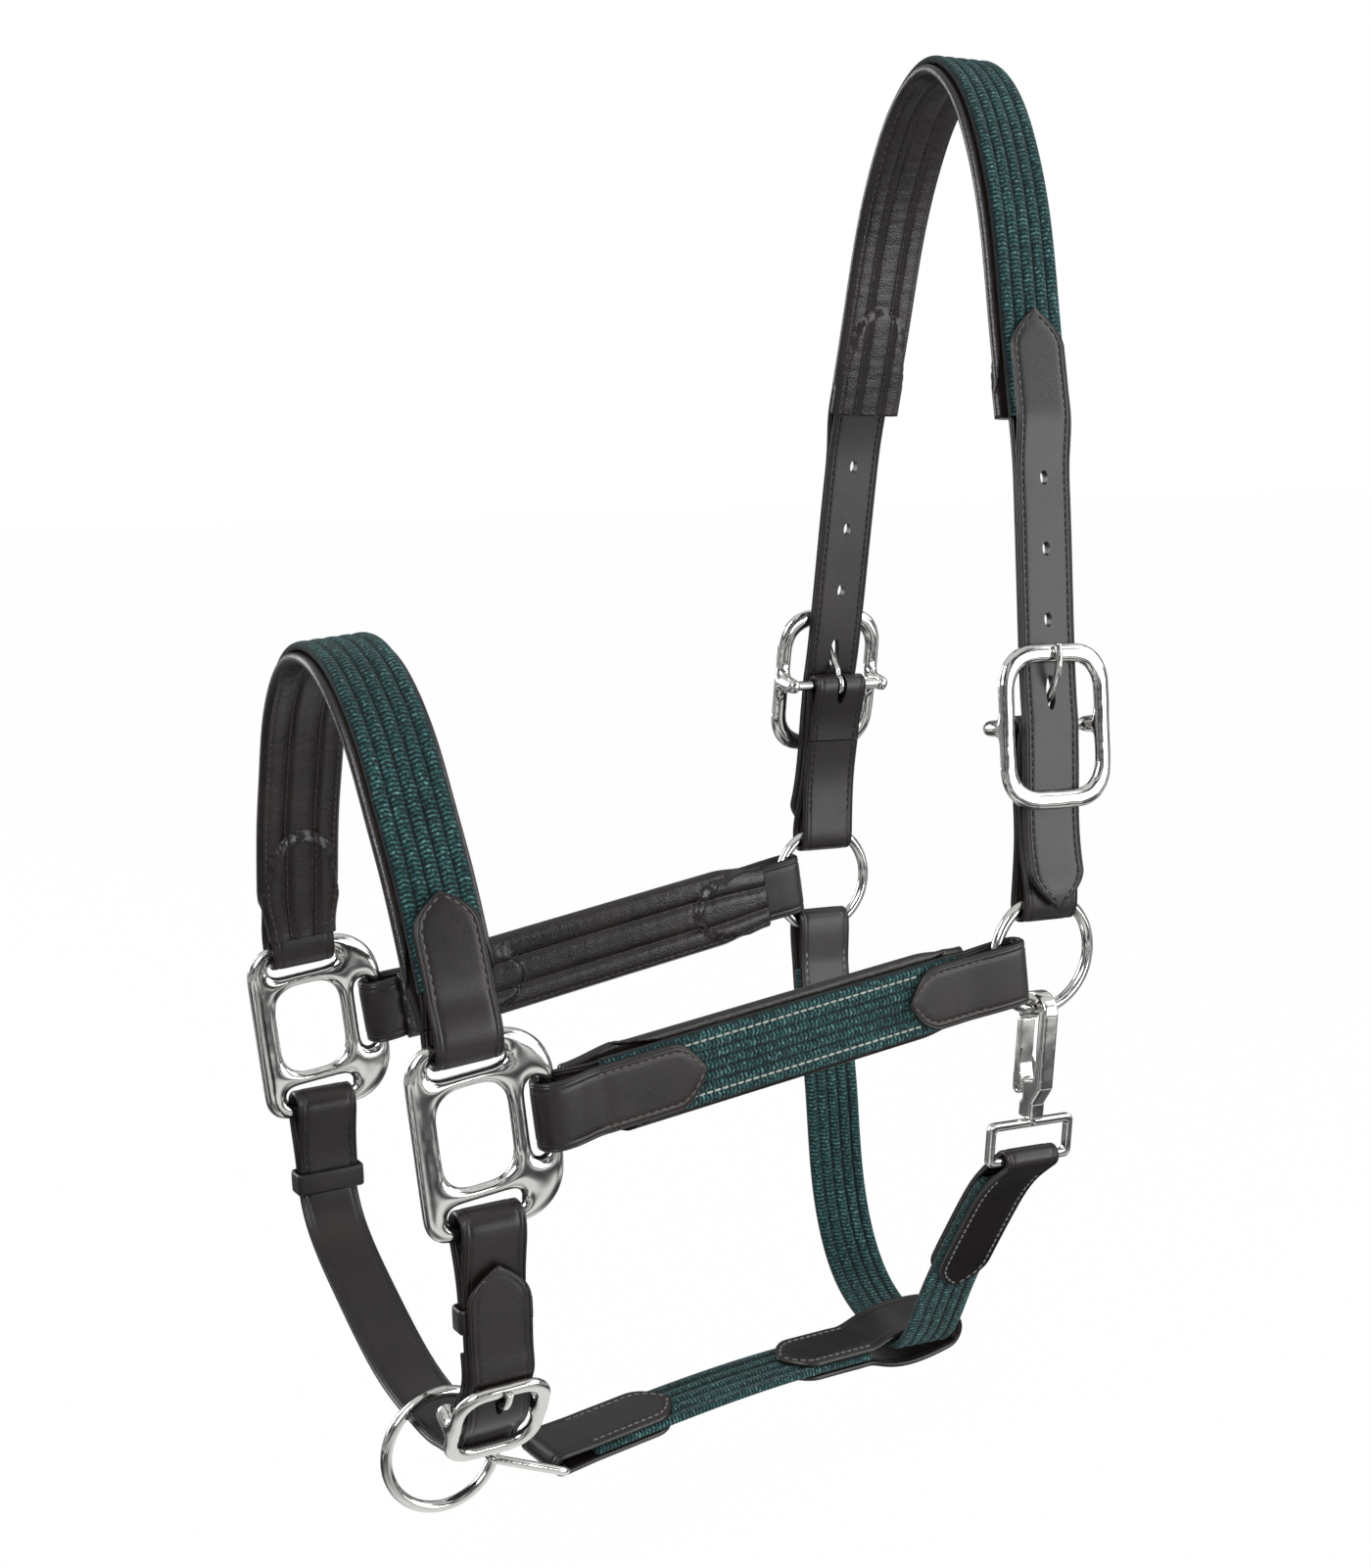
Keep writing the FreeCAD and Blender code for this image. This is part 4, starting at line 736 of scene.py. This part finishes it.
def liningStrap(name, body, place, line, node, span, laps, sign, tapered=0.0):
    # padded lining: rolled edges, sewn channels, fuller where strap ends lie under it
    # laps: how far the strap ends reach under it at the start and at the end, and how thick they are
    path = walk(line, span[0], span[1], 1.0)
    width = strapStuff["padWidth"]
    thin = web / 2 + gap
    thick = thin + laps[2]
    length = path["at"][-1] - path["at"][0]
    channels = (-padLook["channelAt"], padLook["channelAt"])

    def outline(q):
        # how far short of the strap end its pointed outline is at q
        beyond = np.abs(q) - strapWidth / 2
        share = np.clip(np.abs(q) / (strapWidth / 2), 0, 1)
        return strapStuff["tip"] * (1 - (1 - share) ** 0.43) + 5 * np.clip(beyond, 0, 4)

    def lift(at, q):
        reach = at - path["at"][0]
        short = outline(q)
        rise = np.maximum(
            smoothStep(1 - (reach - laps[0] + short) / 2.4),
            smoothStep(1 - (length - laps[1] - reach + short) / 2.4),
        )
        return thin + (thick - thin) * rise

    def back(q, at, half):
        # lies on the webbing and turns up round its edges
        edge = half - np.abs(q)
        return lift(at, q) + 1.2 * (1 - np.clip(edge / 1.4, 0, 1)) ** 2

    def face(q, at, half):
        edge = half - np.abs(q)
        place = q / half
        full = strapStuff["pad"] - 2.6 * (1 - np.clip(edge / 3.2, 0, 1)) ** 2.2
        for channel in channels:
            full = full - padLook["channel"] * np.exp(-(((place - channel) * half) / 1.15) ** 2)
        full = full - padLook["edge"] * np.exp(-((edge - 2.9) / 0.7) ** 2)
        reach = at - path["at"][0]
        for away in (reach - laps[0], length - laps[1] - reach):
            full = full - 0.22 * np.exp(-((away + outline(q) - 3.0) / 1.0) ** 2) * (np.abs(q) < 14)
        wrinkle = np.sin(at * 0.83 + 2.1 * np.sin(at * 0.21)) * np.sin(at * 0.37 + 1.3 + 3 * place)
        full = full + padLook["wrinkle"] * wrinkle * smoothStep(edge / 5)
        return lift(at, q) + full

    outer = np.array([
        0.07, 0.2, 0.28, 0.32, 0.36, 0.40, 0.44, 0.5, 0.6, 0.72, 0.79, 0.83, 0.86, 0.9, 0.95, 0.985, 1,
    ])
    across = np.concatenate([-outer[::-1], outer])
    reach = path["at"] - path["at"][0]
    half = width / 2 - tapered * smoothStep(1 - np.minimum(reach, length - reach) / 24)
    low, high = back, face
    if sign < 0:
        low, high = (lambda q, at, h: -face(q, at, h)), (lambda q, at, h: -back(q, at, h))
    spots, faces, lay = bandMesh(path, place, half, across, low, high)
    piece = meshPiece(name, spots, faces, lay, finishes["lining"], body, [node])
    rows = []
    seams = [(channel, padLook["channel"] + 0.05) for channel in channels]
    seams += [(-padLook["edgeAt"], padLook["edge"]), (padLook["edgeAt"], padLook["edge"])]
    for share, sink in seams:
        q = share * half
        level = lift(path["at"], q) + strapStuff["pad"]
        rows.append(seamRow(path, place, q, sign * (level - sink - 0.12), path["at"][0], path["at"][-1], sign))
    for lap, first in ((laps[0], True), (laps[1], False)):
        # a seam round the tip of the strap end below
        row = []
        for q in np.linspace(-12, 12, 41):
            away = lap - outline(q) + 3.0
            at = path["at"][0] + away if first else path["at"][-1] - away
            step = int(np.clip(np.searchsorted(path["at"], at), 0, len(path["at"]) - 1))
            row.append(seamSpot(path, place, step, q, sign * (lift(at, q) + strapStuff["pad"] - 0.3), sign))
        rows.append(row)
    stitchMesh(name + "Stitches", body, rows, finishes["brownThread"], 0.8)
    return piece


webStrap("crownWebbing", "headcollar", poll, crownLine, webWidth, ["crown_webbing"], (0, None), (-1,))
lap = crownSizes["lap"] + 2
liningStrap("crownLining", "headcollar", poll, crownLine, "crown_lining", (0, None), (lap, lap, ply + gap), 1)
print("crown arch made")

# noseband
lapBoth = web / 2 + gap + leather / 2
squareWrap = barSizes["square"] + playSizes["square"] + leather / 2
noseSizes = {
    "height": 133.0,
    "lap": 54.0,            # chape tips up the webbing
    "webFrom": 21.0,        # webbing and lining start this far from the bars
    "padFrom": 6.0,
    "seam": 38.0,
    "taper": 3.0,           # how much each edge of the lining draws in at its ends
}
noseHalf = [(sidePlane, 0)]
noseHalf += [(sidePlane * across, noseSizes["height"] * up) for across, up in (
    (0.993, 0.12), (0.945, 0.24), (0.83, 0.445), (0.705, 0.61), (0.61, 0.73), (0.435, 0.875), (0.225, 0.97),
)]
noseLine = noseHalf + [(0, noseSizes["height"])] + [(-x, z) for x, z in reversed(noseHalf)]
noseLength = walk(noseLine)["length"]
webStrap(
    "noseWebbing", "headcollar", nose, noseLine, webWidth, ["nose_webbing"],
    (noseSizes["webFrom"], noseLength - noseSizes["webFrom"]), (-1,),
)
lap = noseSizes["lap"] - noseSizes["padFrom"]
liningStrap(
    "noseLining", "headcollar", nose, noseLine, "nose_lining",
    (noseSizes["padFrom"], noseLength - noseSizes["padFrom"]), (lap, lap, leather + gap), 1, noseSizes["taper"],
)
noseEnd = fold(noseLine, squareWrap, 5, 17, lapBoth, noseSizes["lap"])
for name, mirror in bothSides:
    node = "nose_chape_" + name.lower()
    chape("noseChape" + name, nose @ mirror, noseEnd, strapWidth, node, noseSizes["seam"], "softThread")
print("noseband made")

# cheek straps
cheekSizes = {
    "frontLap": 62.0,       # chape tips along the webbing
    "rearLap": 52.0,
    "frontSeam": 46.0,
    "rearSeam": 36.0,
    "webFrom": 21.0,        # webbing and lining start this far from the square's bar
    "padFrom": 8.0,
    "taper": 3.0,
    "cordLift": 0.8,        # height of the tubes in the flatter webbing
    "seamAt": 0.72,         # pale seams, as a share of the webbing's half width
}
for name, sign, below in (("Near", 1, 4.0), ("Far", -1, -2.0)):
    bar = Vector((
        sign * sidePlane,
        -squarePlace["ahead"] + squarePlace["barRear"] * math.cos(squareTilt),
        -squarePlace["drop"] + squarePlace["barRear"] * math.sin(squareTilt),
    ))
    ring = Vector((sign * sidePlane, ringSpot.y, ringSpot.z))
    heading = (ring - Vector((0, 0, below)) - bar).normalized()
    outward = Vector((sign, 0, 0))
    across = outward.cross(heading)
    cheek = Matrix.Translation(bar) @ Matrix((heading, across, outward)).transposed().to_4x4()
    offLine = abs((ring - bar).dot(across))
    ringAt = (ring - bar).dot(heading)
    inside = math.sqrt((ringRadius - ringWire / 2) ** 2 - (strapWidth / 2 + offLine) ** 2)
    wrapAt = ringAt - inside - ringWire / 2 - playSizes["ring"] + 0.25
    line = [(wrapAt * step / 6, 0) for step in range(7)]
    hold = ringHold - (ringAt - wrapAt)
    webTo = wrapAt - hold - 16
    low = name.lower()
    webStrap(
        "cheekWebbing" + name, "headcollar", cheek, line, webWidth, ["cheek_webbing_" + low],
        (cheekSizes["webFrom"], webTo), (1,), strapStuff["fineCords"], cheekSizes["cordLift"], "webbingFine",
    )
    path = walk(line, cheekSizes["webFrom"] + 30, webTo - 18, 1.5)
    count = len(path["at"])
    rows = []
    for share in (-cheekSizes["seamAt"], cheekSizes["seamAt"]):
        q = np.full(count, share * webWidth / 2)
        rows.append(seamRow(path, cheek, q, np.full(count, web / 2 - 0.45), 0, webTo, 1))
    stitchMesh("cheekWebbingStitches" + name, "headcollar", rows, finishes["paleThread"], 1.15)
    liningStrap(
        "cheekLining" + name, "headcollar", cheek, line, "cheek_lining_" + low, (cheekSizes["padFrom"], webTo + 8),
        (cheekSizes["frontLap"] - cheekSizes["padFrom"], cheekSizes["rearLap"] - (wrapAt - webTo) + 8, leather + gap),
        -1, cheekSizes["taper"],
    )
    front = fold(line, squareWrap, 5, 17, lapBoth, cheekSizes["frontLap"])
    rear = fold(list(reversed(line)), ringWrap, hold, hold + 12, lapBoth, cheekSizes["rearLap"])
    for end, route in (("Front", front), ("Rear", rear)):
        seam = cheekSizes[end.lower() + "Seam"]
        node = "cheek_" + end.lower() + "_chape_" + low
        chape("cheek" + end + "Chape" + name, cheek, route, strapWidth, node, seam, "softThread")
print("cheek straps made")

# throat strap
throatSizes = {
    "width": 27.0,
    "drop": 187.0,          # lowest point below the rings
    "webFrom": 22.0,        # webbing starts this far from the far ring
    "webTo": 18.0,          # and ends this far from the snap's eye
    "farLap": 44.0,
    "nearLap": 84.0,
    "farSeam": 30.0,
    "nearSeam": 72.0,
    "snapLean": 2.7,
    "eyeDrop": 62.0,        # eye bar below the foot of the near ring
}
snapSpot = Vector((sidePlane, 0, ringZ - ringRadius))
eyeBar = turned(throatSizes["snapLean"], "Y", snapSpot) @ Vector((0, 0, -throatSizes["eyeDrop"]))
throatLine = [(-sidePlane, ringZ - wrapRise)]
throatLine += [
    (sidePlane * across, ringZ - throatSizes["drop"] * down) for across, down in (
        (-0.985, 0.18), (-0.935, 0.30), (-0.828, 0.497), (-0.742, 0.695), (-0.626, 0.834),
        (-0.44, 0.936), (-0.22, 0.984), (-0.037, 1.0), (0.11, 1.0), (0.21, 0.955),
        (0.30, 0.875), (0.43, 0.765), (0.63, 0.62), (0.785, 0.524),
    )
]
throatLine += [(eyeBar.x, eyeBar.z)]
throatSpan = (throatSizes["webFrom"], walk(throatLine)["length"] - throatSizes["webTo"])
webStrap("throatWebbing", "headcollar", poll, throatLine, throatSizes["width"], ["throat_webbing"], throatSpan)
eyeWrap = barSizes["snap"] + playSizes["ring"] + leather / 2
farEnd = fold(throatLine, ringWrap, 9, 20, lapBoth, throatSizes["farLap"])
nearEnd = fold(list(reversed(throatLine)), eyeWrap, 2, 15, lapBoth, throatSizes["nearLap"])
for name, route in (("Far", farEnd), ("Near", nearEnd)):
    low = name.lower()
    chape("throatChape" + name, poll, route, strapWidth, "throat_chape_" + low, throatSizes[low + "Seam"], "greyThread")
print("throat strap made")

# chin strap, drawn from the square's bottom bar
chinSizes = {
    "width": 25.0,
    "buckle": (76.0, -70.3),        # its centre bar
    "buckleLean": 30.0,
    "hang": (28.5, -92.7),          # lowest point, through the chin ring
    "under": 3.3,                   # far strap off the buckle's middle
    "upper": 84.2,                  # near strap's outer ply, out from the middle of the head
    "lower": 81.0,                  # and its inner ply
    "farInner": 78.0,
    "billet": 88.9,                 # tip of the far strap, outside the near one
    "barSlot": (4.8, 16.0),
    "tongueHole": (3.6, 9.0),
}
buckleLean = chinSizes["buckleLean"]
buckleSpot = chinSizes["buckle"]
strapUp = Vector((math.sin(math.radians(buckleLean)), math.cos(math.radians(buckleLean))))
strapOut = Vector((strapUp.y, -strapUp.x))


def atBuckle(up, out):
    spot = Vector(buckleSpot) + strapUp * up + strapOut * out
    return (spot.x, spot.y)


chinBarOut = eyeReach + playSizes["buckle"] + leather / 2
under, upper, lower = chinSizes["under"], chinSizes["upper"], chinSizes["lower"]
farInner, billet = chinSizes["farInner"], chinSizes["billet"]
nearLine = [(lower, -37), (lower, -29), (lower - 1.2, -18), (lower - 4, -8)]
nearLine += turn((sidePlane, 0), squareWrap, 180, 0)
nearLine += [
    (upper + 2.2, -10), (upper + 0.5, -20), (upper, -34), (upper + 0.2, -47),
    atBuckle(16, 0.3), atBuckle(12, 0.6), atBuckle(7, 1.8),
]
nearLine += turn(buckleSpot, barWrap, -buckleLean, -buckleLean - 180)
nearLine += [atBuckle(7, -2.6), atBuckle(15, -3.0), (lower - 0.1, -46)]
farLine = [(-farInner + 0.1, -34), (-farInner - 0.2, -26), (-farInner, -17), (-farInner + 1.5, -7)]
farLine += turn((-sidePlane, 0), squareWrap, 0, 180)
farLine += [
    (-86.4, -10), (-83.8, -20), (-82.2, -29), (-80.6, -37), (-77.0, -45),
    (-66.0, -56), (-48.0, -67), (-28.0, -77.5), (-2.0, -88), chinSizes["hang"],
    (46.0, -93.2), (59.0, -91.3), atBuckle(-19.5, under - 0.3), atBuckle(-14.2, under - 0.2),
    atBuckle(-7, chinBarOut - 1.4), atBuckle(0, chinBarOut), atBuckle(7, chinBarOut - 1.4),
    atBuckle(13.8, under - 0.1), atBuckle(19.5, under - 0.2),
    (billet - 0.3, -47), (billet, -36), (billet, -24), (billet - 0.2, -13),
]
nearLength = walk(nearLine)["length"]
leatherStrap(
    "chinStrapNear", "headcollar", chin, nearLine, chinSizes["width"], ["chin_strap_near"],
    sew=[(2, 32, -1), (nearLength - 34, nearLength - 3, -1)],
    cuts=[ovalCutter(chin, atBuckle(0.5, 0), *chinSizes["barSlot"], buckleLean)],
)
leatherStrap(
    "chinStrapFar", "headcollar", chin, farLine, chinSizes["width"], ["chin_strap_far"],
    tips=(0, strapStuff["tip"]), sew=[(2, 26, -1)],
    cuts=[ovalCutter(chin, atBuckle(8.2, 4), *chinSizes["tongueHole"], buckleLean)],
)


keeperSizes = {
    "tall": 9.0,
    "corner": 1.5,
    "near": (79.8, 85.4, -37.0),    # from, to and foot, beside the middle of the head
    "far": (-83.8, -76.7, -36.0),
}


def keeperLoop(name, low, high, bottom, node):
    # a narrow leather loop round both plies of the chin strap, on a body of its own
    wide = chinSizes["width"] / 2 + 0.5 + 0.7
    deep = (high - low) / 2 + 0.4 + 0.7
    middle = (low + high) / 2
    tall = keeperSizes["tall"] / 2
    corner = keeperSizes["corner"]
    outline = []
    for right, top, first in ((1, 1, 0), (-1, 1, 90), (-1, -1, 180), (1, -1, 270)):
        for k in range(7):
            a = math.radians(first + 15 * k)
            x = right * (deep - corner) + corner * math.cos(a)
            outline.append((x, top * (wide - corner) + corner * math.sin(a)))
    spots, faces = [], []
    section = []
    for k in range(13):
        share = -1 + k / 6
        crease = 0.14 * math.exp(-((abs(share) - 0.72) / 0.07) ** 2)
        section.append((tall * share, 0.7 - 0.5 * max(0, abs(share) - 0.9) / 0.1 - crease))
    section += [(z, -0.7 + 0.35 * max(0, abs(z / tall) - 0.9) / 0.1) for z, off in reversed(section)]
    count = len(outline)
    for i, (x, y) in enumerate(outline):
        before, after = outline[i - 1], outline[(i + 1) % count]
        out = Vector((after[1] - before[1], before[0] - after[0])).normalized()
        for z, off in section:
            spots.append((chin @ Vector((middle + x + out.x * off, y + out.y * off, bottom + tall + z))) * mm)
    size = len(section)
    for i in range(count):
        for j in range(size):
            a, b = i * size, ((i + 1) % count) * size
            faces.append([a + j, b + j, b + (j + 1) % size, a + (j + 1) % size])
    return meshPiece(name, spots, faces, None, finishes["leather"], node, [node])


keeperLoop("keeperNear", *keeperSizes["near"], "keeper_near")
keeperLoop("keeperFar", *keeperSizes["far"], "keeper_far")
print("chin strap made")

# link strap from the chin dee back to the throat strap
linkSizes = {
    "width": 25.0,
    "webFrom": 16.0,
    "frontLap": 60.0,
    "rearLap": 88.0,
    "loopHold": 31.0,       # from the throat strap's middle to where the loop closes
    "aside": -3.0,          # where it crosses the throat strap
    "roll": 5.0,
}
deeSpot = jointSpot("chin_dee_lift")
throatLow = poll @ Vector((linkSizes["aside"], 0, ringZ - throatSizes["drop"]))
linkAlong = (throatLow - deeSpot).normalized()
roll = math.radians(linkSizes["roll"])
linkUp = linkAlong.cross(Vector((-math.cos(roll), 0, math.sin(roll)))).normalized()
linkAcross = linkUp.cross(linkAlong)
link = Matrix.Translation(deeSpot) @ Matrix((linkAlong, linkAcross, linkUp)).transposed().to_4x4()
loopWrap = web / 2 + 4.2 + leather / 2
loopEnd = (throatLow - deeSpot).length + 13.5 + 2.5
linkLine = [(loopEnd * share, rise) for share, rise in (
    (0, 0), (0.15, 1.6), (0.3, 3.0), (0.45, 3.6), (0.6, 3.0), (0.72, 1.6), (0.82, 0.4), (0.91, 0), (1, 0),
)]
loopHold = linkSizes["loopHold"]
linkSpan = (linkSizes["webFrom"], walk(linkLine)["length"] - loopHold - 15)
webStrap("linkWebbing", "headcollar", link, linkLine, linkSizes["width"], ["link_webbing"], linkSpan)
deeWrap = barSizes["dee"] + playSizes["ring"] + leather / 2
for name, route, node, wrap, hold, lap in (
    ("linkChapeFront", linkLine, "link_front_chape", deeWrap, 2, linkSizes["frontLap"]),
    ("linkChapeRear", list(reversed(linkLine)), "link_rear_chape", loopWrap, loopHold, linkSizes["rearLap"]),
):
    ends = fold(route, wrap, hold, hold + 14, lapBoth, lap)
    chape(name, link, ends, linkSizes["width"], node, lap - hold - 12, "greyThread")
print("link strap made")


# metal
def tubeRing(name, centre, node, body):
    # round wire ring standing in the plane across x
    spots, faces = [], []
    turns, rim = 128, 24
    matrix = Matrix.Translation(centre) @ poll.to_3x3().to_4x4()
    for i in range(turns):
        a = 2 * math.pi * i / turns
        for k in range(rim):
            b = 2 * math.pi * k / rim
            reach = ringRadius + ringWire / 2 * math.cos(b)
            spot = Vector((ringWire / 2 * math.sin(b), reach * math.cos(a), reach * math.sin(a)))
            spots.append((matrix @ spot) * mm)
    for i in range(turns):
        for k in range(rim):
            a, b = i * rim, ((i + 1) % turns) * rim
            faces.append([a + k, a + (k + 1) % rim, b + (k + 1) % rim, b + k])
    return meshPiece(name, spots, faces, None, finishes["nickel"], body, [node])


tubeRing("ringNear", ringSpot, "ring_near", "ring_near")
tubeRing("ringFar", Vector((-ringSpot.x, ringSpot.y, ringSpot.z)), "ring_far", "ring_far")
tubeRing("chinRing", chinRingSpot, "chin_ring", "chin_ring")


def castPiece(name, node, body, voxel, passes, swell=0.0):
    # a casting with every edge rounded over, from the frame's own solid
    source = frame["nodes"][node]
    piece = bpy.data.objects.new(name, source.data.copy())
    scene.collection.objects.link(piece)
    shape = bmesh.new()
    shape.from_mesh(piece.data)
    bmesh.ops.remove_doubles(shape, verts=shape.verts, dist=1e-6)
    shape.to_mesh(piece.data)
    shape.free()
    remesh = piece.modifiers.new("remesh", "REMESH")
    remesh.mode = "VOXEL"
    remesh.voxel_size = voxel * mm
    soft = piece.modifiers.new("soft", "SMOOTH")
    soft.factor = 0.5
    soft.iterations = passes
    bpy.context.view_layer.update()
    shaped = bpy.data.meshes.new_from_object(piece.evaluated_get(bpy.context.evaluated_depsgraph_get()))
    piece.modifiers.clear()
    piece.data = shaped
    if swell:
        spots = np.zeros(len(shaped.vertices) * 3, np.float32)
        outward = np.zeros_like(spots)
        shaped.vertices.foreach_get("co", spots)
        shaped.vertices.foreach_get("normal", outward)
        shaped.vertices.foreach_set("co", spots + outward * swell * mm)
    shaped.shade_smooth()
    shaped.materials.clear()
    shaped.materials.append(finishes["nickel"])
    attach(piece, body)
    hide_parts(node)
    return piece


# name, node, body, voxel, smoothing passes and what the smoothing shrinks it by
castings = (
    ("squareNear", "square_near", "headcollar", 0.5, 260, 0.35),
    ("squareFar", "square_far", "headcollar", 0.5, 260, 0.35),
    ("buckleNear", "buckle_near_frame", "headcollar", 0.5, 260, 0.35),
    ("buckleFar", "buckle_far_frame", "headcollar", 0.5, 260, 0.35),
    ("chinBuckle", "chin_buckle_frame", "headcollar", 0.42, 180, 0.3),
    ("barNear", "buckle_near_bar", "headcollar", 0.3, 30, 0.15),
    ("barFar", "buckle_far_bar", "headcollar", 0.3, 30, 0.15),
    ("chinBar", "chin_buckle_bar", "headcollar", 0.3, 30, 0.15),
    ("tongueNear", "buckle_near_tongue", "tongue_near", 0.25, 8),
    ("tongueFar", "buckle_far_tongue", "tongue_far", 0.25, 8),
    ("chinTongue", "chin_buckle_tongue", "chin_tongue", 0.25, 8),
    ("snapHook", "snap_body", "snap", 0.3, 12),
    ("snapGate", "snap_gate", "gate", 0.28, 8),
    ("snapEye", "snap_eye", "headcollar", 0.28, 8),
    ("linkDee", "link_dee", "chin_dee", 0.3, 8),
)
for casting in castings:
    castPiece(*casting)
for node in ("snap_pin", "snap_spring"):
    solid = frame["nodes"][node]
    solid.data.materials.clear()
    solid.data.materials.append(finishes["nickel"])
print("metal made")

# floor, light and camera
studio = {
    "floorBelow": 0.07,
    "world": 0.36,
    "aim": (0, -0.13, -0.27),
    "boxes": (                  # place, size and power
        ("keyBox", (1.5, -1.5, 0.9), (0.9, 1.3), 30.0),
        ("fillBox", (-1.6, -1.3, 0.3), (1.0, 1.4), 22.0),
        ("rearBox", (0.9, 1.7, 0.7), (0.9, 1.2), 13.0),
        ("sideBox", (1.35, 1.0, -0.30), (0.9, 1.3), 13.0),
        ("stripBox", (1.75, 0.52, -0.62), (0.3, 0.9), 5.0),
    ),
}
viewSizes = {"spot": (0.8216, -0.5820, -0.1165), "tilt": 80.33, "turn": 60.9, "lens": 55.2}


def mixShaders(nodes, links, share, below, above):
    mix = nodes.new("ShaderNodeMixShader")
    for slot, source in zip(mix.inputs, (share, below, above)):
        links.new(source, slot)
    return mix.outputs[0]


lowest = min(corner[2] for corner in cadBox)
bpy.ops.mesh.primitive_plane_add(size=14, location=(0, 0, lowest - studio["floorBelow"]))
floor = bpy.context.object
floor.name = "studioFloor"
paper, nodes, links, shader = newFinish("paperFloor")
shader.inputs["Base Color"].default_value = (0.86, 0.86, 0.86, 1)
shader.inputs["Roughness"].default_value = 0.9
rays = nodes.new("ShaderNodeLightPath")
white = addNode(nodes, "ShaderNodeEmission", Color=(1, 1, 1, 1))
mirrored = nodes.new("ShaderNodeEmission")      # painted reflection: the floor glows in dark and pale patches seen only by glossy rays, for the metal to reflect
reflectedPatches = ramp(nodes, links, noise(nodes, links, 3.0, 0.5), [
    (0.40, (0.06, 0.06, 0.065)), (0.50, (0.28, 0.28, 0.28)), (0.62, (0.95, 0.95, 0.94)),
])
links.new(reflectedPatches, mirrored.inputs["Color"])
surface = mixShaders(nodes, links, rays.outputs["Is Glossy Ray"], shader.outputs[0], mirrored.outputs[0])
seen = sums(nodes, links, "MULTIPLY", rays.outputs["Is Camera Ray"], 0.985)
surface = mixShaders(nodes, links, seen, surface, white.outputs[0])
links.new(surface, nodes["Material Output"].inputs["Surface"])
floor.data.materials.append(paper)

world = bpy.data.worlds.new("studioWorld")
scene.world = world
world.use_nodes = True
nodes, links = world.node_tree.nodes, world.node_tree.links
backdrop = nodes["Background"]
backdrop.inputs["Color"].default_value = (1, 1, 1, 1)
lit = addNode(nodes, "ShaderNodeBackground", Color=(1, 1, 1, 1), Strength=studio["world"])
rays = nodes.new("ShaderNodeLightPath")
heading = nodes.new("ShaderNodeTexCoord").outputs["Generated"]
split = nodes.new("ShaderNodeSeparateXYZ")
links.new(heading, split.inputs[0])
bands = addNode(nodes, "ShaderNodeTexNoise", Scale=3.4, Detail=2.0)
links.new(heading, bands.inputs["Vector"])
height = sums(nodes, links, "MULTIPLY_ADD", split.outputs[2], 0.5, 0.5 - 0.45)
height = sums(nodes, links, "MULTIPLY_ADD", bands.outputs[0], 0.9, height)
shades = ramp(nodes, links, height, [
    (0.20, (0.55, 0.55, 0.56)), (0.34, (0.04, 0.04, 0.045)), (0.44, (0.08, 0.08, 0.085)), (0.50, (0.62, 0.62, 0.62)),
    (0.54, (0.5, 0.5, 0.5)), (0.59, (0.04, 0.04, 0.045)), (0.70, (0.10, 0.10, 0.11)), (0.80, (0.8, 0.8, 0.8)),
])
glossyWorld = nodes.new("ShaderNodeBackground")
links.new(shades, glossyWorld.inputs["Color"])
mirrorRay = sums(nodes, links, "MAXIMUM", rays.outputs["Is Glossy Ray"], rays.outputs["Is Transmission Ray"])
surface = mixShaders(nodes, links, mirrorRay, lit.outputs[0], glossyWorld.outputs[0])
surface = mixShaders(nodes, links, rays.outputs["Is Camera Ray"], surface, backdrop.outputs[0])
links.new(surface, nodes["World Output"].inputs["Surface"])

for name, spot, size, power in studio["boxes"]:
    lamp = bpy.data.lights.new(name, "AREA")
    lamp.shape = "RECTANGLE"
    lamp.size, lamp.size_y = size
    lamp.energy = power
    holder = bpy.data.objects.new(name, lamp)
    scene.collection.objects.link(holder)
    holder.location = spot
    holder.rotation_euler = (Vector(studio["aim"]) - Vector(spot)).to_track_quat("-Z", "Y").to_euler()

camera = bpy.data.cameras.new("camera")
camera.lens = viewSizes["lens"]
camera.sensor_width = 36.0
viewpoint = bpy.data.objects.new("camera", camera)
scene.collection.objects.link(viewpoint)
viewpoint.location = viewSizes["spot"]
viewpoint.rotation_euler = (math.radians(viewSizes["tilt"]), 0, math.radians(viewSizes["turn"]))
scene.camera = viewpoint
scene.view_settings.view_transform = "Standard"

print("scene ready")
